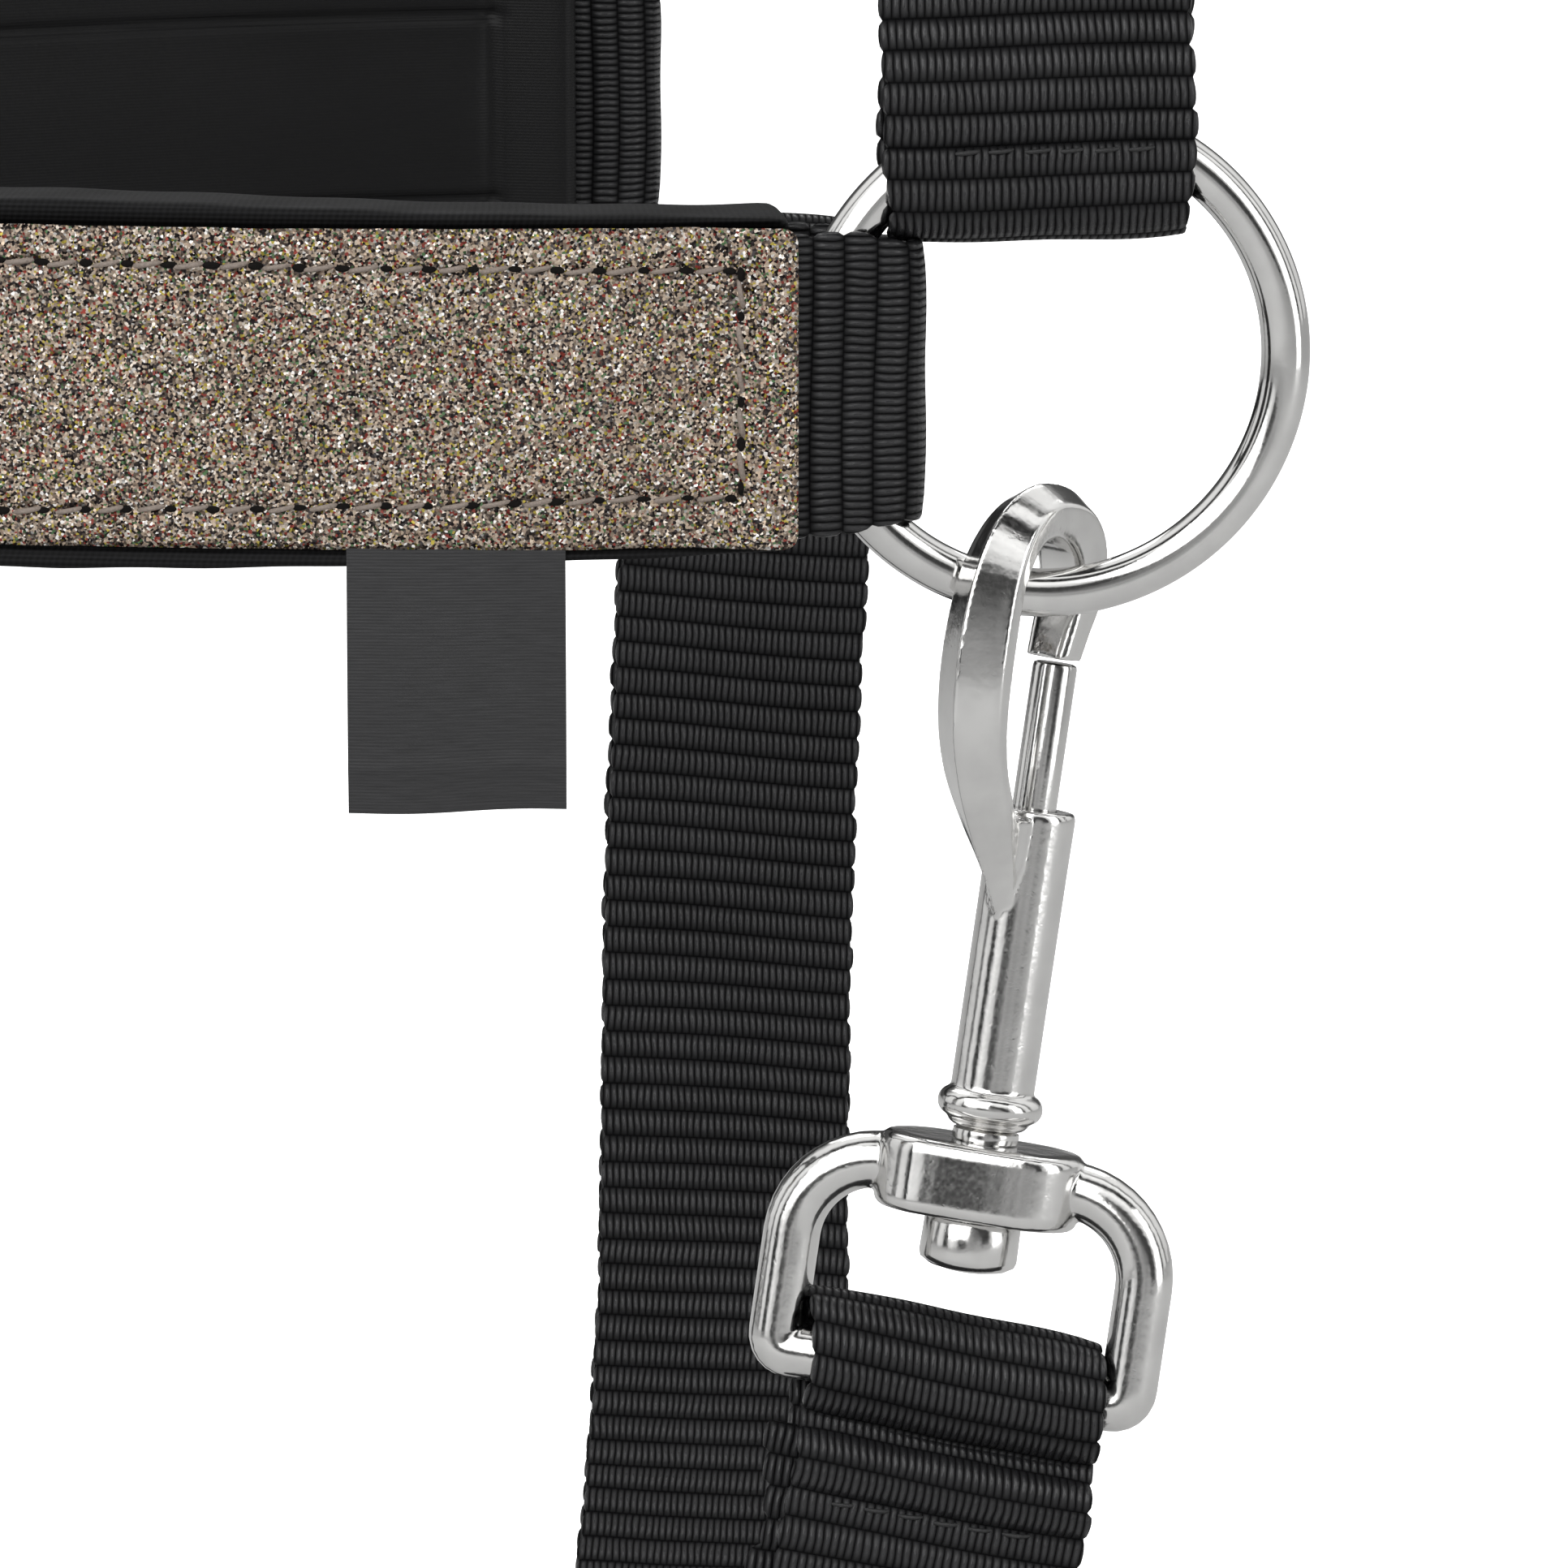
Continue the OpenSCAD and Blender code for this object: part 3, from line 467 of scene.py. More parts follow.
def stitch_row(name, line, normal, pitch=3.5, length=2.5, r=0.24, seed=3, slant=0.22):
    """Lockstitches along a line on a surface, each one a short thread that dives in at both ends."""
    p = np.asarray(line, float)
    nrm = np.asarray(normal, float)
    s = np.concatenate([[0], np.cumsum(np.linalg.norm(np.diff(p, axis=0), axis=1))])
    rnd = np.random.RandomState(seed)
    parts_v, parts_f = [], []
    k = 0.4 * pitch
    m, n = 8, 9
    while k + length < s[-1]:
        at = k + np.linspace(0, length * rnd.uniform(0.92, 1.05), n)
        q = np.column_stack([np.interp(at, s, p[:, j]) for j in range(3)])
        nn = np.column_stack([np.interp(at, s, nrm[:, j]) for j in range(3)])
        nn /= np.linalg.norm(nn, axis=1)[:, None]
        along = unit(q[-1] - q[0])
        side = np.cross(nn, along)
        u = np.linspace(-1, 1, n)
        q = q + nn * ((1 - np.abs(u) ** 2.6) * r * 2.1 - r * 1.5)[:,
            None] + side * (u * slant + rnd.uniform(-0.06, 0.06))[:, None]
        g = tube(q, r * (1 - 0.25 * np.abs(u) ** 3) * rnd.uniform(0.9, 1.08), m)
        base = len(parts_v) * m * n
        parts_v.append(g.reshape(-1, 3))
        for i in range(n - 1):
            for j in range(m):
                parts_f.append((base + i * m + j, base + i * m + (j + 1) % m,
                    base + (i + 1) * m + (j + 1) % m, base + (i + 1) * m + j))
        k += pitch * rnd.uniform(0.96, 1.04)
    ob = mesh_object(name, np.vstack(parts_v), parts_f)
    return ob


# ---- Materials ----


class Nodes:
    """A material's node tree, with short ways to add the nodes that this scene uses."""

    def __init__(self, name, **principled):
        self.mat = bpy.data.materials.new(name)
        self.mat.use_nodes = True
        self.tree = self.mat.node_tree
        self.bsdf = next(n for n in self.tree.nodes if n.type == "BSDF_PRINCIPLED")
        for key, value in principled.items():
            self.bsdf.inputs[key.replace("_", " ")].default_value = value

    def add(self, kind, **inputs):
        n = self.tree.nodes.new(kind)
        for key, value in inputs.items():
            self.feed(n.inputs[key.replace("_", " ")], value)
        return n

    def feed(self, socket, value):
        if hasattr(value, "is_output") and value.is_output:
            self.tree.links.new(value, socket)
        else:
            socket.default_value = value

    def math(self, op, a, b=None, c=None, clamp=False):
        n = self.tree.nodes.new("ShaderNodeMath")
        n.operation, n.use_clamp = op, clamp
        for i, v in enumerate((a, b, c)):
            if v is not None:
                self.feed(n.inputs[i], v)
        return n.outputs[0]

    def vec(self, op, a, b=None, scale=None):
        n = self.tree.nodes.new("ShaderNodeVectorMath")
        n.operation = op
        self.feed(n.inputs[0], a)
        if b is not None:
            self.feed(n.inputs[1], b)
        if scale is not None:
            self.feed(n.inputs[3], scale)
        return n.outputs[0]

    def mix(self, fac, a, b):
        n = self.tree.nodes.new("ShaderNodeMix")
        n.data_type = "RGBA"
        self.feed(n.inputs[0], fac)
        self.feed(n.inputs[6], a)
        self.feed(n.inputs[7], b)
        return n.outputs[2]

    def ramp(self, fac, stops, smooth="LINEAR"):
        n = self.tree.nodes.new("ShaderNodeValToRGB")
        n.color_ramp.interpolation = smooth
        e = n.color_ramp.elements
        while len(e) < len(stops):
            e.new(0.5)
        for el, (at, colour) in zip(e, stops):
            el.position = at
            el.color = (*colour, 1) if hasattr(colour, "__len__") else (colour, colour, colour, 1)
        self.feed(n.inputs[0], fac)
        return n.outputs[0]

    def noise(self, at, scale, detail=3.0, rough=0.55):
        n = self.add("ShaderNodeTexNoise", Scale=scale, Detail=detail, Roughness=rough)
        self.feed(n.inputs["Vector"], at)
        return n.outputs["Fac"]

    def bump(self, height, strength, distance, normal=None):
        n = self.add("ShaderNodeBump", Height=height, Strength=strength, Distance=distance)
        if normal is not None:
            self.feed(n.inputs["Normal"], normal)
        return n.outputs[0]

    def place(self):
        return self.add("ShaderNodeTexCoord").outputs["Object"]

    def weave(self):
        n = self.tree.nodes.new("ShaderNodeUVMap")
        n.uv_map = "weave"
        s = self.tree.nodes.new("ShaderNodeSeparateXYZ")
        self.tree.links.new(n.outputs[0], s.inputs[0])
        return n.outputs[0], s.outputs[0], s.outputs[1]

    def surface(self, **links):
        for key, value in links.items():
            self.feed(self.bsdf.inputs[key.replace("_", " ")], value)
        return self.mat


def rgb(r, g, b):
    return (r, g, b, 1.0)


def webbing_material(name):
    """Black polypropylene: rows of short satin floats side by side, each pointed at both ends."""
    k = Nodes(name)
    uv, u, v = k.weave()
    at = k.place()
    drift = k.math("MULTIPLY", k.noise(at, 260, 2), 0.7)
    row = k.math("DIVIDE", v, rib)
    shifted = k.math("MULTIPLY", k.math("MODULO", k.math("FLOOR", row), 2.0), 0.5)
    across = k.math("ADD", k.math("ADD", k.math("DIVIDE", u, 0.68), shifted), drift)
    strand = k.math("POWER", k.math("ABSOLUTE", k.math("SINE", k.math("MULTIPLY", across, math.pi))), 0.7)
    along = k.math("POWER", k.math("ABSOLUTE", k.math("SINE", k.math("MULTIPLY", row, math.pi))), 0.55)
    lens = k.math("MULTIPLY", strand, along)
    stretch = k.vec("MULTIPLY", uv, (9.0, 1.1, 1.0))
    fibre = k.noise(stretch, 1.0, 3)
    height = k.math("ADD", lens, k.math("MULTIPLY", fibre, 0.22))
    patch = k.noise(at, 90, 3)
    # The colour is lighter on each float's crest and near black in the grooves between floats and at their
    # ends: painted highlight and painted shade, scaled by random patches of tone.
    crest_light_and_patches = k.math("MULTIPLY", k.math("ADD", k.math("MULTIPLY", lens, 0.75), 0.12),
        k.math("ADD", k.math("MULTIPLY", patch, 0.9), 0.55))
    colour = k.mix(crest_light_and_patches, rgb(0.0008, 0.0008, 0.0009), rgb(0.024, 0.024, 0.0255))
    rough = k.math("ADD", k.math("MULTIPLY", k.math("SUBTRACT", 1.0, lens), 0.3), 0.26)
    gloss = k.math("MULTIPLY_ADD", k.math("POWER", lens, 1.6), 0.5, 0.02)
    return k.surface(Base_Color=colour, Roughness=rough, Specular_IOR_Level=gloss,
        Normal=k.bump(height, 1.0, 0.0003))


def knit_material():
    """Fine black knit over foam."""
    k = Nodes("knit", Specular_IOR_Level=0.14, Sheen_Weight=0.01, Sheen_Roughness=0.5)
    uv, u, v = k.weave()
    at = k.place()
    wob = k.math("MULTIPLY", k.noise(at, 500, 2), 0.6)
    rows = k.math("SINE", k.math("ADD", k.math("MULTIPLY", u, 2 * math.pi / 0.42), wob))
    loops = k.math("SINE", k.math("ADD", k.math("MULTIPLY", v, 2 * math.pi / 0.55),
        k.math("MULTIPLY", u, 3.1)))
    h = k.math("ADD", k.math("MULTIPLY", rows, 0.6), k.math("MULTIPLY", loops, 0.4))
    h01 = k.math("MULTIPLY_ADD", h, 0.5, 0.5)
    # The colour follows the knit's relief, lighter on the raised rows and loops and near black in the grooves
    # between them: painted highlight and painted shade.
    colour = k.mix(h01, rgb(0.0008, 0.0008, 0.0009), rgb(0.009, 0.009, 0.0097))
    rough = k.math("MULTIPLY_ADD", k.noise(at, 120, 2), 0.2, 0.5)
    return k.surface(Base_Color=colour, Roughness=rough, Normal=k.bump(h01, 0.5, 0.00012))


def lining_material():
    """Smooth black lining cloth on the side that lies on the horse."""
    k = Nodes("lining", Specular_IOR_Level=0.2)
    uv, u, v = k.weave()
    at = k.place()
    grain = k.math("SINE", k.math("MULTIPLY", u, 2 * math.pi / 0.3))
    h = k.math("ADD", k.math("MULTIPLY", grain, 0.3), k.noise(at, 1800, 3))
    colour = k.mix(k.noise(at, 60, 3), rgb(0.0022, 0.0022, 0.0024), rgb(0.0058, 0.0058, 0.0062))
    rough = k.math("MULTIPLY_ADD", k.noise(at, 45, 3), 0.22, 0.36)
    return k.surface(Base_Color=colour, Roughness=rough, Normal=k.bump(h, 0.25, 0.0001))


def glitter_material():
    """Champagne glitter: flakes a quarter of a millimetre across, each with its own tint and tilt."""
    k = Nodes("glitter", Specular_IOR_Level=0.4)
    at = k.place()
    flakes = k.add("ShaderNodeTexVoronoi", Scale=4900.0, Randomness=1.0)
    k.feed(flakes.inputs["Vector"], at)
    cell = flakes.outputs["Color"]
    parts = k.tree.nodes.new("ShaderNodeSeparateColor")
    k.feed(parts.inputs[0], cell)
    a, b, c = parts.outputs
    tint = k.ramp(a, [(0.0, (0.012, 0.008, 0.01)), (0.2, (0.07, 0.052, 0.042)), (0.34, (0.27, 0.2, 0.15)),
                      (0.5, (0.46, 0.36, 0.27)), (0.61, (0.24, 0.035, 0.025)), (0.67, (0.5, 0.41, 0.32)),
                      (0.76, (0.45, 0.36, 0.06)), (0.81, (0.08, 0.17, 0.07)), (0.85, (0.82, 0.72, 0.62)),
                      (0.93, (1.0, 0.97, 0.93))], "CONSTANT")
    blotch = k.noise(at, 160, 3)
    tint = k.mix(k.math("MULTIPLY", blotch, 0.1), tint, rgb(0.2, 0.165, 0.135))
    tilt = k.vec("SCALE", k.vec("SUBTRACT", cell, (0.5, 0.5, 0.5)), scale=1.5)
    n = k.tree.nodes.new("ShaderNodeNewGeometry").outputs["Normal"]
    turned = k.vec("NORMALIZE", k.vec("ADD", n, tilt))
    metal = k.math("MULTIPLY_ADD", k.math("GREATER_THAN", b, 0.35), 0.62, 0.12)
    rough = k.math("MULTIPLY_ADD", c, 0.3, 0.16)
    return k.surface(Base_Color=tint, Metallic=metal, Roughness=rough, Normal=turned)


def thread_material(name, colour, dark):
    k = Nodes(name, Specular_IOR_Level=0.4)
    at = k.place()
    twist = k.noise(at, 5200, 2)
    return k.surface(Base_Color=k.mix(twist, dark, colour),
        Roughness=k.math("MULTIPLY_ADD", twist, 0.2, 0.45),
                     Normal=k.bump(twist, 0.6, 0.0001))


def hole_material():
    k = Nodes("needle_hole", Specular_IOR_Level=0.1)
    at = k.place()
    f = k.noise(at, 3000, 2)
    # Near-black colour for the discs over the needle holes: painted shade.
    return k.surface(Base_Color=k.mix(f, rgb(0.002, 0.002, 0.002), rgb(0.012, 0.01, 0.009)),
                     Roughness=k.math("MULTIPLY_ADD", f, 0.1, 0.8))


def label_material():
    """Black satin ribbon."""
    k = Nodes("label_satin", Specular_IOR_Level=0.35, Sheen_Weight=0.03, Sheen_Roughness=0.35)
    uv, u, v = k.weave()
    at = k.place()
    lines = k.math("SINE", k.math("MULTIPLY", v, 2 * math.pi / 0.26))
    slub = k.noise(k.vec("MULTIPLY", uv, (0.35, 5.0, 1.0)), 1.0, 4)
    h = k.math("ADD", k.math("MULTIPLY", lines, 0.35), slub)
    colour = k.mix(slub, rgb(0.012, 0.012, 0.0125), rgb(0.045, 0.045, 0.047))
    rough = k.math("MULTIPLY_ADD", k.noise(at, 150, 2), 0.2, 0.36)
    return k.surface(Base_Color=colour, Roughness=rough, Normal=k.bump(h, 0.3, 0.00008))


def metal_material(name, rough, dimple, pits):
    """Nickel plate: slow dimples from the die or the drawing, fine scratches and a few pits."""
    k = Nodes(name, Metallic=1.0)
    at = k.place()
    slow = k.noise(at, 420, 3)
    fine = k.noise(at, 2600, 4)
    pit = k.math("SMOOTH_MIN", k.noise(at, 1500, 2), 0.36, 0.05)
    h = k.math("ADD", k.math("MULTIPLY", slow, dimple),
        k.math("ADD", k.math("MULTIPLY", fine, 0.12 * pits), k.math("MULTIPLY", pit, pits * 2.2)))
    stain = k.noise(at, 240, 4)
    colour = k.mix(stain, rgb(0.84, 0.835, 0.82), rgb(0.6, 0.595, 0.585))
    r = k.math("MULTIPLY_ADD", fine, 0.16, rough)
    return k.surface(Base_Color=colour, Roughness=r, Normal=k.bump(h, 0.5, 0.0006))


def steel_material():
    k = Nodes("spring_steel", Metallic=1.0)
    f = k.noise(k.place(), 1500, 3)
    return k.surface(Base_Color=k.mix(f, rgb(0.42, 0.42, 0.43), rgb(0.6, 0.6, 0.6)),
        Roughness=k.math("MULTIPLY_ADD", f, 0.2, 0.2))


webbing_mat = webbing_material("webbing")
knit_mat = knit_material()
lining_mat = lining_material()
glitter_mat = glitter_material()
taupe_thread = thread_material("thread_taupe", rgb(0.36, 0.30, 0.255), rgb(0.12, 0.095, 0.08))
black_thread = thread_material("thread_black", rgb(0.03, 0.03, 0.031), rgb(0.005, 0.005, 0.005))
hole_mat = hole_material()
label_mat = label_material()
ring_mat = metal_material("ring_metal", 0.035, 0.05, 0.02)
cast_mat = metal_material("cast_metal", 0.06, 0.11, 0.05)
steel_mat = steel_material()

# ---- Rings ----

for node, c, axis, r_mid, wire in (
    ("near_throat_ring", throat_ring, (0, 1, 0), ring_mid, ring_wire),
    ("far_throat_ring", throat_ring * (1, -1, 1), (0, 1, 0), ring_mid, ring_wire),
    ("near_nose_ring", nose_ring, (0, 1, 0), ring_mid, ring_wire),
    ("far_nose_ring", nose_ring * (1, -1, 1), (0, 1, 0), ring_mid, ring_wire),
    ("lead_ring", lead_ring, (0, 0, 1), lead_in + lead_wire / 2, lead_wire),
):
    ring = torus(node + "_wire", c, axis, r_mid, wire, uneven=0.004)
    finish_piece(ring, ring_mat, node, [node])

# ---- Cheek straps ----

cheek_a, cheek_b = pt(0, -throat_w / 2), pt(-cheek_l, -nose_w / 2)
cheek_run = cheek_l - 2 * ring_far
cheek_route = [pt(-ring_far - cheek_run * i / 16,
    -throat_w / 2 + (throat_w - nose_w) / 2 * ease(i / 16)) for i in range(17)]
cover_start = ring_out - 0.1
face_t = webbing_t / 2 + 0.06


def cover(route, a, b, way_a, way_b, over):
    side = 1 if over > 0 else -1
    end = [pt(side * q[0], q[1]) for q in fold_side(ring_h, ring_open) + [pt(ring_h, cover_start)]]
    mid = shift(route, side * ply)
    face = lay(end, a, way_a, left(way_a))[::-1] + mid[1:-1] + lay(end, b, way_b, -left(way_b))
    return shift(face, over)


def on_path(path, place, s_at, off, w):
    """Points and outward normals at distances s_at along a path, with an offset and a width for each."""
    p, s = even(path, 0.5)
    _, out = normals(p)
    s_at = np.clip(np.asarray(s_at, float), 0, s[-1])
    off, w = np.broadcast_to(off, s_at.shape), np.broadcast_to(w, s_at.shape)
    q = np.column_stack([np.interp(s_at, s, p[:, k]) for k in range(2)])
    o = np.column_stack([np.interp(s_at, s, out[:, k]) for k in range(2)])
    a = place(q[:, 0] + o[:, 0] * off, q[:, 1] + o[:, 1] * off, w)
    b = place(q[:, 0] + o[:, 0] * (off + 1), q[:, 1] + o[:, 1] * (off + 1), w)
    return a, b - a


half_facing = facing_h / 2
end_in = 4.4


def seam_top(s):
    return 9.7 + 0.7 * np.clip((s - 10) / 60, 0, 1) + 0.12 * wander(s, 31)


def seam_low(s):
    return -9.0 - 1.6 * np.clip((s - 15) / 60, 0, 1) + 0.12 * wander(s, 32)


def facing_section(s, total):
    u = np.linspace(1, -1, 53)
    front_w = u * half_facing
    s2 = s[:, None]
    near = np.minimum(s, total - s)[:, None]
    pillow = 1.25 - 0.8 * np.abs(u[None]) ** 7
    within = (front_w[None] < seam_top(s)[:, None] + 0.4) & (front_w[None] > seam_low(s)[:, None] - 0.4)
    inside = near > end_in - 0.4
    dent = 0.34 * np.exp(-((front_w[None] - seam_top(s)[:, None]) / 0.6) ** 2) * inside
    dent = dent + 0.34 * np.exp(-((front_w[None] - seam_low(s)[:, None]) / 0.6) ** 2) * inside
    dent = dent + 0.34 * np.exp(-((near - end_in) / 0.6) ** 2) * within
    front = pillow - dent + 0.05 * np.sin(front_w[None] * 0.5 + s2 * 0.13) + 0 * s2
    back_u = np.linspace(-1, 1, 7)
    off = np.concatenate([front, np.full((len(s), 7), 0.02)], 1)
    w = np.concatenate([front_w, back_u * (half_facing - 0.15)])[None] + 0 * s2
    edge = 0.06 * wander(s * 2.2, 33)[:, None]
    return off, w + edge * np.sign(w) * (np.abs(w) > half_facing - 1)


def pad_half(s, total):
    near = np.minimum(s, total - s)
    return 13.7 + 1.6 * np.clip(near / 60, 0, 1) ** 0.8 + 0.12 * wander(s, 35)


def pad_section(s, total):
    """A pad: lips beside the facing, rolls along both edges, and a lining with one sewn channel."""
    H = pad_half(s, total)[:, None]
    near = np.minimum(s, total - s)[:, None]
    drop = (ring_h - ply) * ease(np.clip((ring_far - (cover_start + near)) / fold_taper, 0, 1))
    lip = 12.75
    rise = [(0.3, lip), (1.2, lip + 0.15), (1.75, None, 0.55), (1.95, None, 0.75), (1.7, None, 0.92),
        (0.9, None, 1.0),
            (-0.6, None, 1.06), (-2.4, None, 1.08), (-4.2, None, 1.0), (-5.4, None, 0.8)]
    offs, ws = [], []
    for item in rise:
        if item[1] is not None:
            w = item[1] + 0 * H
        else:
            w = lip + (H - lip) * item[2]
        deep = item[0] < -1
        offs.append(item[0] - (drop if deep else 0) + 0 * H)
        ws.append(w)
    back = np.linspace(1, -1, 61)
    for b in back:
        w = b * (H - 1.1)
        o = -6.0 - 0.35 * (1 - b * b)
        o = o + 0.75 * np.exp(-((np.abs(w) - 9.1) / 0.55) ** 2) * (near > 7.6)
        o = o + 0.75 * np.exp(-((near - 8.2) / 0.55) ** 2)
        o = o - 0.45 * np.cos(w / 9.1 * np.pi / 2) ** 2 * (np.abs(w) < 9.1) * np.clip((near - 8.2) / 4, 0, 1)
        offs.append(o - drop + 0 * H)
        ws.append(w)
    for item in rise[::-1]:
        if item[1] is not None:
            w = item[1] + 0 * H
        else:
            w = lip + (H - lip) * item[2]
        offs.append(item[0] - (drop if item[0] < -1 else 0) + 0 * H)
        ws.append(-w)
    for t, w in ((-1.35, -lip), (-1.35, -4.0), (-1.35, 4.0), (-1.35, lip)):
        offs.append(t - drop + 0 * H)
        ws.append(w + 0 * H)
    return np.concatenate(offs, 1), np.concatenate(ws, 1)


def seam_line(path, place, total):
    """The stitched outline of a facing, as a line of points with normals, and where its sides are."""
    s1, s2 = end_in, total - end_in
    sides = []
    for fn in (seam_top, seam_low):
        s = np.arange(s1, s2, 0.5)
        sides.append((s, fn(s)))
    for s0 in (s1, s2):
        w = np.arange(seam_low(np.array([s0]))[0], seam_top(np.array([s0]))[0], 0.5)
        sides.append((np.full(len(w), s0), w))
    return [on_path(path, place, s, up, w) for (s, w), up in zip(sides, (0.93, 0.93, 1.02, 1.02))]


def needle_holes(name, line, normal, pitch=3.5, seed=3):
    """Dark discs where the thread goes down: painted shade standing in for the needle holes."""
    s = np.concatenate([[0], np.cumsum(np.linalg.norm(np.diff(line, axis=0), axis=1))])
    rnd = np.random.RandomState(seed)
    verts, faces = [], []
    k = 0.4 * pitch - 0.45
    while k < s[-1]:
        c = np.array([np.interp(k, s, line[:, j]) for j in range(3)])
        a = np.array([np.interp(min(k + 0.5, s[-1]), s, line[:, j]) for j in range(3)])
        b = np.array([np.interp(max(k - 0.5, 0), s, line[:, j]) for j in range(3)])
        n = unit(np.array([np.interp(k, s, normal[:, j]) for j in range(3)]))
        e = unit(a - b)
        f = np.cross(n, e)
        base = len(verts)
        ra, rb = rnd.uniform(0.5, 0.75), rnd.uniform(0.3, 0.42)
        m = 14
        for level, lift in ((1.0, -0.12), (0.72, 0.035), (0.3, 0.06)):
            for i in range(m):
                t = 2 * math.pi * i / m
                verts.append(c + e * ra * level * math.cos(t) + f * rb * level * math.sin(t) + n * lift)
        for level in range(2):
            for i in range(m):
                q = base + level * m + i
                r = base + level * m + (i + 1) % m
                faces.append((q, r, r + m, q + m))
        faces.append(tuple(base + 2 * m + i for i in range(m)))
        k += pitch * rnd.uniform(0.96, 1.04)
    return mesh_object(name, np.array(verts), faces)


def trim(prefix, path, place, body, nodes):
    """A facing with its stitching and needle holes."""
    facing = section_loft(prefix + "_facing_cloth", path, place, facing_section, step=0.8, ends=1.3)
    finish_piece(facing, glitter_mat, body, nodes)
    total = even(path, 0.5)[1][-1]
    for i, (line, normal) in enumerate(seam_line(path, place, total)):
        row = stitch_row(f"{prefix}_facing_stitches_{i}", line, normal, seed=11 + i)
        finish_piece(row, taupe_thread, body, ())
        holes = needle_holes(f"{prefix}_facing_holes_{i}", line, normal, seed=11 + i)
        finish_piece(holes, hole_mat, body, ())
    return facing


def paint_lining(ob, mat_index_test):
    """Gives the faces that pass the test the second material."""
    for f in ob.data.polygons:
        if mat_index_test(f):
            f.material_index = 1


def pad_piece(name, node, path, place, section, step, ends, lies_on_horse):
    """A padded piece in knit, with the lining on the faces that lie on the horse."""
    pad = section_loft(name, path, place, section, step=step, ends=ends)
    finish_piece(pad, knit_mat, "headcollar", [node])
    pad.data.materials.append(lining_mat)
    paint_lining(pad, lies_on_horse)


def cheek_squeeze(most):
    """Narrows the strap where it turns inside a ring."""
    ends = np.array([cheek_a, cheek_b])

    def by(s, p):
        d = np.minimum(*[np.linalg.norm(p - e, axis=1) for e in ends])
        return most * ease(np.clip((17.5 + most - d) / 6, 0, 1))

    return by


for prefix, side in (("near", lambda f: f), ("far", far_side)):
    place = side(up_z(ring_z - cheek_drop))
    gathered = 0.9 if prefix == "near" else 1.3
    half_in_ring = 12.9 if prefix == "near" else 11.0
    fold_pts = fold(ring_h, fold_reach(ring_in, half_in_ring), ring_open)
    path = doubled(cheek_route, lay(fold_pts, cheek_a, pt(-1, 0), pt(0, -1)),
                   lay(fold_pts, cheek_b, pt(1, 0), pt(0, -1))[::-1])
    strap_piece(prefix + "_cheek_strap", [prefix + "_cheek_webbing"], path, place, seed=4,
        width=webbing_w - 0.2, squeeze=cheek_squeeze(gathered))
    outer = cover(cheek_route, cheek_a, cheek_b, pt(-1, 0), pt(1, 0), face_t)
    trim(prefix + "_cheek", outer, place, "headcollar", [prefix + "_cheek_facing"])
    middle = [pt(-cover_start, -throat_w / 2)] + cheek_route + [pt(-cheek_l + cover_start, -nose_w / 2)]
    inward = 1 if prefix == "near" else -1
    pad_piece(prefix + "_cheek_padding", prefix + "_cheek_pad", middle, place, pad_section, 1.0, 1.6,
              lambda f: f.normal.y * inward > 0.45)

# ---- Noseband ----

nose_a, nose_b = pt(-nose_w / 2, ring_z), pt(nose_w / 2, ring_z)
nose_arch = nose_rise - ring_far
nose_route = [pt(-nose_w / 2 * math.cos(math.radians(9 * i)),
    ring_z + ring_far + nose_arch * math.sin(math.radians(9 * i)))
              for i in range(21)]
nose_reach = fold_reach(ring_in, 12.7)
place = across_x(-cheek_l)
fold_pts = fold(ring_h, nose_reach, ring_open)
path = doubled(nose_route, lay(fold_pts, nose_a, pt(0, 1), pt(-1, 0)),
    lay(fold_pts, nose_b, pt(0, 1), pt(1, 0))[::-1])
strap_piece("noseband_strap", ["noseband_webbing"], path, place, seed=6)
trim("noseband", cover(nose_route, nose_a, nose_b, pt(0, 1), pt(0, 1), face_t), place, "headcollar",
    ["noseband_facing"])
middle = [nose_a + pt(0, cover_start)] + nose_route + [nose_b + pt(0, cover_start)]
nose_mid = Vector((-cheek_l * MM, 0, (ring_z + 25) * MM))


def towards(f, middle, least):
    """Whether a face looks towards a point."""
    return f.normal.dot(middle - f.center) > least * (middle - f.center).length


pad_piece("noseband_padding", "noseband_pad", middle, place, pad_section, 1.0, 1.6,
          lambda f: abs(f.normal.x) < 0.75 and towards(f, nose_mid, 0.45))

# ---- Jaw straps ----

jaw_start, jaw_end = pt(-lead_far, lead_z), pt(-nose_w / 2, ring_z - ring_far)
jaw_route = curve(jaw_start, pt(jaw_start[0] - (jaw_start[0] - jaw_end[0]) * 0.7, lead_z),
                  pt(jaw_end[0], lead_z + (jaw_end[1] - lead_z) * 0.4), jaw_end, 10)
jaw_path = doubled(
    jaw_route,
    lay(fold(lead_h, fold_reach(lead_in, webbing_w / 2), lead_open), pt(0, lead_z), pt(-1, 0), pt(0, -1)),
    lay(fold(ring_h, nose_reach, ring_open), nose_a, pt(0, -1), pt(-1, 0))[::-1])
for prefix, side, seed in (("near", lambda f: f, 21), ("far", far_side, 22)):
    strap_piece(prefix + "_jaw_webbing", [prefix + "_jaw_strap"], jaw_path, side(across_x(-cheek_l)),
        seed=seed)

# ---- Snap hook ----


def turn_x(a):
    return np.array([[1, 0, 0], [0, math.cos(a), -math.sin(a)], [0, math.sin(a), math.cos(a)]])


def turn_y(a):
    return np.array([[math.cos(a), 0, math.sin(a)], [0, 1, 0], [-math.sin(a), 0, math.cos(a)]])


def turn_z(a):
    return np.array([[math.cos(a), -math.sin(a), 0], [math.sin(a), math.cos(a), 0], [0, 0, 1]])


